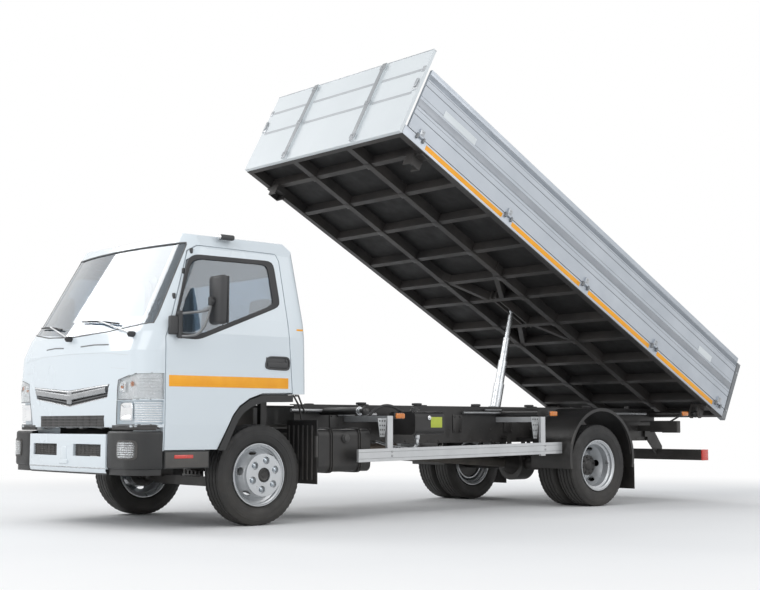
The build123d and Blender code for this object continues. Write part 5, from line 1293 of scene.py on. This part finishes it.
# ---------------------------------------------------------------- tailgate
# Aluminium planks with dark joint lines and a dark band, between two end posts that
# have zinc plated caps and bolts.
gate = []
for v in (0.20, 0.34, 0.48):
    gate.append(on_bed((-1.070, 5.0975, v - 0.003), (1.070, 5.0990, v + 0.003), 0.0004))
put(tipped(joined(gate)), "gate_lines", seal_rubber, "tailgate")
put(tipped(on_bed((-1.070, 5.0970, 0.545), (1.070, 5.1000, 0.606), 0.001)), "gate_band", dark_band,
    "tailgate")
post_caps = [on_bed((1.080, 5.071, 0.652), (1.116, 5.126, 0.662), 0.003)]
for v in (0.10, 0.55):
    post_caps.append(disc((1.1165, BED_FRONT + 5.098, BED_FOOT + v), 0.012, 0.006, "X", 6, 0.002))
pair(tipped(joined(post_caps)), "post_caps", clip_zinc, "bed")

# ---------------------------------------------------------------- bed grid
# Black plates welded under the grid where its cross members meet the long beams.
straps = []
for u in (0.30, 0.76, 1.235, 1.735, 2.19, 2.56, 3.06, 3.42, 3.85, 4.28, 4.70):
    for x in (0.39, -0.39):
        straps.append(on_bed((x - 0.044, u - 0.034, -0.004), (x + 0.044, u + 0.034, 0.0005), 0.001))
put(tipped(joined(straps)), "grid_plates", bed_black, "bed")

# ---------------------------------------------------------------- hoist
# Four chromed stages in a silver painted tube that stands between the frame rails and
# pushes the bed up.
ring_steel = finish("bright_steel", (0.62, 0.64, 0.66), (0.50, 0.52, 0.54), (0.22, 0.36), metallic=0.9,
                    scale=12, dust=0.2)
hoist_silver = finish("hoist_silver", (0.42, 0.43, 0.44), (0.34, 0.35, 0.36), (0.3, 0.45), metallic=0.5,
                      scale=6, dust=0.4, grain=240)
dress(hoist_silver, "hoist_tube")
dress(ring_steel, "hoist_stage_1", "hoist_stage_2", "hoist_stage_3", "hoist_stage_4")

# ---------------------------------------------------------------- chassis
# Black painted ladder frame, axles and springs, cast engine and gearbox, a heat stained
# exhaust, black tanks and mudguards, and side guards in silver paint.
frame_black = finish("frame_black", (0.010, 0.010, 0.011), (0.020, 0.019, 0.019), (0.36, 0.56), coat=0.15,
                     scale=3, dust=0.14, dust_top=1.0, grain=240, depth=0.0005)
dress(frame_black, "frame_rails", "frame_cross_members", "sub_rails", "sub_cross_members", "front_axle",
      "rear_axle", "leaf_springs", "tie_rod", "knuckle_left", "knuckle_right", "underrun_bar", "rear_lamps")
cast_grey = finish("cast_grey", (0.035, 0.035, 0.034), (0.055, 0.052, 0.050), (0.55, 0.75), metallic=0.4,
                   scale=5, dust=0.5, grain=120, depth=0.001)
dress(cast_grey, "powertrain")
burnt_steel = finish("burnt_steel", (0.18, 0.16, 0.145), (0.26, 0.20, 0.16), (0.4, 0.65), metallic=0.8,
                     scale=6, dust=0.4, grain=260)
dress(burnt_steel, "exhaust")
tank_black = finish("tank_black", (0.010, 0.010, 0.011), (0.018, 0.018, 0.019), (0.3, 0.46), scale=4,
                    dust=0.12, grain=420)
dress(tank_black, "fuel_tank", "oil_tank", "mudguards")
guard_silver = finish("guard_silver", (0.62, 0.635, 0.65), (0.54, 0.555, 0.57), (0.3, 0.42), metallic=0.6,
                      scale=5, dust=0.25, grain=400)
dress(guard_silver, "side_guards")

# ---------------------------------------------------------------- rivets and sub-frame brackets
# Round rivet heads along both frame rails, and bolted plates that tie the sub-frame
# to the rails.
rivets = []
for i in range(46):
    y = -0.90 + i * 0.137
    for z in (0.622, 0.722):
        bpy.ops.mesh.primitive_uv_sphere_add(segments=10, ring_count=6, radius=0.010,
                                             location=(0.4005, y + AXLE, z))
        rivet = bpy.context.object
        rivet.scale = (0.55, 1, 1)
        settle(rivet)
        smooth(rivet)
        rivets.append(rivet)
pair(joined(rivets), "frame_rivets", frame_black, "chassis")
brackets = []
for y in (1.16, 1.88, 2.62, 3.30, 4.20, 4.88):
    brackets.append(block((0.4002, y - 0.055, 0.690), (0.408, y + 0.055, 0.860), 0.003))
    for z in (0.710, 0.840):
        for dy in (-0.035, 0.035):
            brackets.append(disc((0.411, y + dy, z), 0.011, 0.008, "X", 6, 0.002))
pair(joined(brackets), "sub_brackets", frame_black, "chassis")

# ---------------------------------------------------------------- bed rests
# Round rubber pads on the sub-frame that the lowered bed lies on, and bright collars
# on the necks of its two front ball seats.
rubber_pads = [disc((0.370, y, 0.949), 0.046, 0.020, "Z", 28, 0.005)
               for y in (1.485, 2.145, 2.900, 3.635, 4.500)]
pair(joined(rubber_pads), "sub_pads", seal_rubber, "chassis")
collars = [disc((x, BED_FRONT + 0.322, 0.876), radius, wide, "X", 24, 0.003)
           for x, radius, wide in ((0.915, 0.030, 0.014), (0.898, 0.036, 0.012))]
pair(joined(collars), "ball_collars", ring_steel, "chassis")

# ---------------------------------------------------------------- fuel tank
# Two pairs of black straps round the tank, and a moulded screw cap on its outer face.
loop = eased([(0.466, 0.381), (0.884, 0.381), (0.884, 0.734), (0.466, 0.734)], 0.055, 6)
bands = [bar([(x, y, z) for x, z in [*loop, loop[0]]], 0.005, 8) for y in (0.735, 0.757, 1.030, 1.052)]
put(joined(bands), "tank_straps", frame_black, "chassis")
put(joined([disc((0.884, 0.890, 0.655), 0.038, 0.020, "X", 28, 0.005),
            disc((0.896, 0.890, 0.655), 0.030, 0.020, "X", 12, 0.004)]),
    "tank_cap", moulded_black, "chassis")

# ---------------------------------------------------------------- oil box
# Hydraulic oil box's black cap, bright sight eyelet, blank green label, and the steel
# fitting with its pipe underneath.
oil = [disc((0.905, 1.800, 0.824), 0.020, 0.010, "X", 24, 0.003),
       disc((0.912, 1.800, 0.824), 0.011, 0.008, "X", 6, 0.002)]
put(joined(oil), "oil_eyelet", bright, "chassis")
label_green = finish("label_green", (0.50, 0.58, 0.06), (0.44, 0.52, 0.06), (0.35, 0.45), scale=20, dust=0.1)
put(block((0.8995, 1.822, 0.741), (0.9015, 1.955, 0.831), 0.0008), "oil_label", label_green, "chassis")
put(joined([disc((0.840, 1.715, 0.660), 0.026, 0.040, "Z", 6, 0.004),
            disc((0.840, 1.715, 0.620), 0.018, 0.060, "Z", 20, 0.004),
            bar([(0.840, 1.715, 0.600), (0.835, 1.705, 0.575), (0.800, 1.680, 0.560), (0.60, 1.640, 0.575),
                 (0.42, 1.62, 0.62)], 0.012, 12, 3)]),
    "oil_fitting", ring_steel, "chassis")
put(joined([disc((0.72, 1.800, 0.884), 0.045, 0.026, "Z", 24, 0.006),
            disc((0.72, 1.800, 0.902), 0.032, 0.020, "Z", 12, 0.004)]),
    "oil_cap", moulded_black, "chassis")

# ---------------------------------------------------------------- hose and rail tubes
# Black rubber hose bent over the oil box, and bright steel tubes and air cylinders
# clamped along the left rail.
put(bar([(0.60, 1.330, 0.800), (0.62, 1.368, 0.844), (0.64, 1.416, 0.900), (0.65, 1.511, 0.932),
         (0.66, 1.594, 0.925),
         (0.67, 1.660, 0.890), (0.68, 1.700, 0.872)], 0.013, 12, 3), "oil_hose", seal_rubber, "chassis")
tube_silver = finish("tube_silver", (0.50, 0.51, 0.52), (0.40, 0.41, 0.42), (0.25, 0.4), metallic=0.8,
                     scale=10, dust=0.25, grain=420)
tubes = [bar([(0.43, y0, z), (0.43, y1, z)], r, 16) for y0, y1, z, r in
         ((0.675, 1.056, 0.885, 0.016), (1.18, 1.36, 0.850, 0.009), (1.45, 1.60, 0.850, 0.022),
          (2.675, 3.306, 0.878, 0.012), (4.563, 5.393, 0.885, 0.014), (2.965, 3.186, 0.905, 0.007))]
put(joined(tubes), "rail_tubes", tube_silver, "chassis")

# ---------------------------------------------------------------- guard brackets
# Galvanised plates, pierced by rows of holes, that carry the side guard: they narrow
# towards the foot. Two bolts hold the guard at each, and its rail has rolled lines.
zinc = finish("galvanised", (0.40, 0.42, 0.43), (0.30, 0.31, 0.32), (0.35, 0.55), metallic=0.7, scale=30,
              dust=0.35, grain=180)
BRACKET_FRONT, BRACKET_REAR, BRACKET_FOOT = 1.205, 3.060, 0.64
plates, holes = [], []
for y, z0, z1 in ((BRACKET_FRONT, 0.664, 0.818), (BRACKET_REAR, BRACKET_FOOT, 0.838)):
    plates.append(block((0.9705, y - 0.054, z0), (0.9745, y + 0.054, z1), 0.001))
    for i in range(4):
        for dy in (-0.032, 0, 0.032):
            z = z0 + 0.022 + (z1 - z0 - 0.044) * i / 3
            holes.append(disc((0.9752, y + dy, z), 0.0075, 0.002, "X", 14, 0.0004))
for piece in plates + holes:
    for vert in piece.data.vertices:
        middle = BRACKET_FRONT if vert.co.y - AXLE < 2 else BRACKET_REAR
        narrow = 0.40 + 0.60 * (vert.co.z - BRACKET_FOOT) / 0.2
        vert.co.y = AXLE + middle + (vert.co.y - AXLE - middle) * narrow
pair(joined(plates), "guard_brackets", zinc, "chassis")
pair(joined(holes), "guard_bracket_holes", seal_rubber, "chassis")
bolts = [disc((1.0020, y, z), 0.010, 0.006, "X", 6, 0.002)
         for y, z in ((1.290, 0.510), (1.290, 0.545), (3.165, 0.540), (3.165, 0.575))]
pair(joined(bolts), "guard_bolts", zinc, "chassis")
guard_lines = [bar([(1.0004, 0.932, z), (1.0004, 3.394, z + 0.040)], 0.0014, 6) for z in (0.488, 0.540)]
pair(joined(guard_lines), "guard_lines", post_grey, "chassis")

# ---------------------------------------------------------------- side markers
# Three orange lenses a side on black bases, on round stays from the frame.
amber_parts, bases = [], []
for y, z in ((1.393, 0.838), (3.300, 0.868), (5.320, 0.880)):
    amber_parts.append(block((0.975, y - 0.048, z - 0.022), (0.996, y + 0.048, z + 0.022), 0.009, 3))
    bases.append(block((0.966, y - 0.054, z - 0.027), (0.980, y + 0.054, z + 0.027), 0.006))
    bases.append(bar([(0.42, y, 0.80), (0.80, y, 0.80), (0.968, y, z)], 0.009))
pair(joined(amber_parts), "side_markers", amber, "chassis")
pair(joined(bases), "side_marker_bases", moulded_black, "chassis")

# ---------------------------------------------------------------- rod bracket
# Bent black rods behind the cab, welded to the left rail.
rods = [bar([(0.62, 0.557, 0.999), (0.62, 0.614, 0.916), (0.62, 0.640, 0.80)], 0.008),
        bar([(0.62, 0.575, 0.999), (0.62, 0.606, 0.999), (0.62, 0.672, 0.862)], 0.008),
        bar([(0.40, 0.557, 0.985), (0.62, 0.557, 0.999)], 0.008)]
put(joined(rods), "cab_bracket", frame_black, "chassis")

# ---------------------------------------------------------------- flaps and mudguard beads
# Moulded rubber flap with ribs behind each front wheel, and rolled beads along the
# edges of the rear mudguards.
ribs = [block((0.975, 0.496, 0.510), (1.001, 0.512, 0.676), 0.003)]
for i in range(6):
    ribs.append(block((0.640 + i * 0.06, 0.490, 0.33), (0.652 + i * 0.06, 0.5005, 0.76), 0.003))
pair(joined(ribs), "flap_ribs", moulded_black, "chassis")
ARCH_Y, ARCH_Z = 3.880, 0.4535             # the rear mudguards' middle
beads = []
for x, reach, start, turn, steps in ((1.0864, 0.4705, -1.28, 0.30, 8), (1.05, 0.462, -1.5, 3.0, 30)):
    angles = [start + turn * i / steps for i in range(steps + 1)]
    beads.append(bar([(x, ARCH_Y + reach * sin(a), ARCH_Z + reach * cos(a)) for a in angles], 0.006, 8))
pair(joined(beads), "mudguard_beads", moulded_black, "chassis")

# ---------------------------------------------------------------- rear lamps
# Moulded box a side with a red, an orange and a white lens that face back, and red
# end caps and reflectors on the guard bar.
pair(block((0.700, 5.300, 0.684), (0.906, 5.349, 0.806), 0.008, 3), "lamp_boxes", moulded_black, "chassis")
for x, name, material in ((0.716, "red", red_glass), (0.778, "orange", amber), (0.840, "white", board_white)):
    pair(block((x, 5.342, 0.700), (x + 0.056, 5.356, 0.790), 0.006, 3), "rear_lens_" + name, material,
         "chassis")
pair(block((0.984, 5.5780, 0.398), (1.004, 5.6830, 0.512), 0.006), "underrun_caps", red_glass, "chassis")
pair(block((0.880, 5.681, 0.430), (0.975, 5.6855, 0.480), 0.003), "underrun_reflectors", red_glass, "chassis")

# ---------------------------------------------------------------- sizes and finish
({"cad": json.loads(json.dumps(cad_box, default=list)),
           "visual": json.loads(json.dumps(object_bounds(), default=list))})
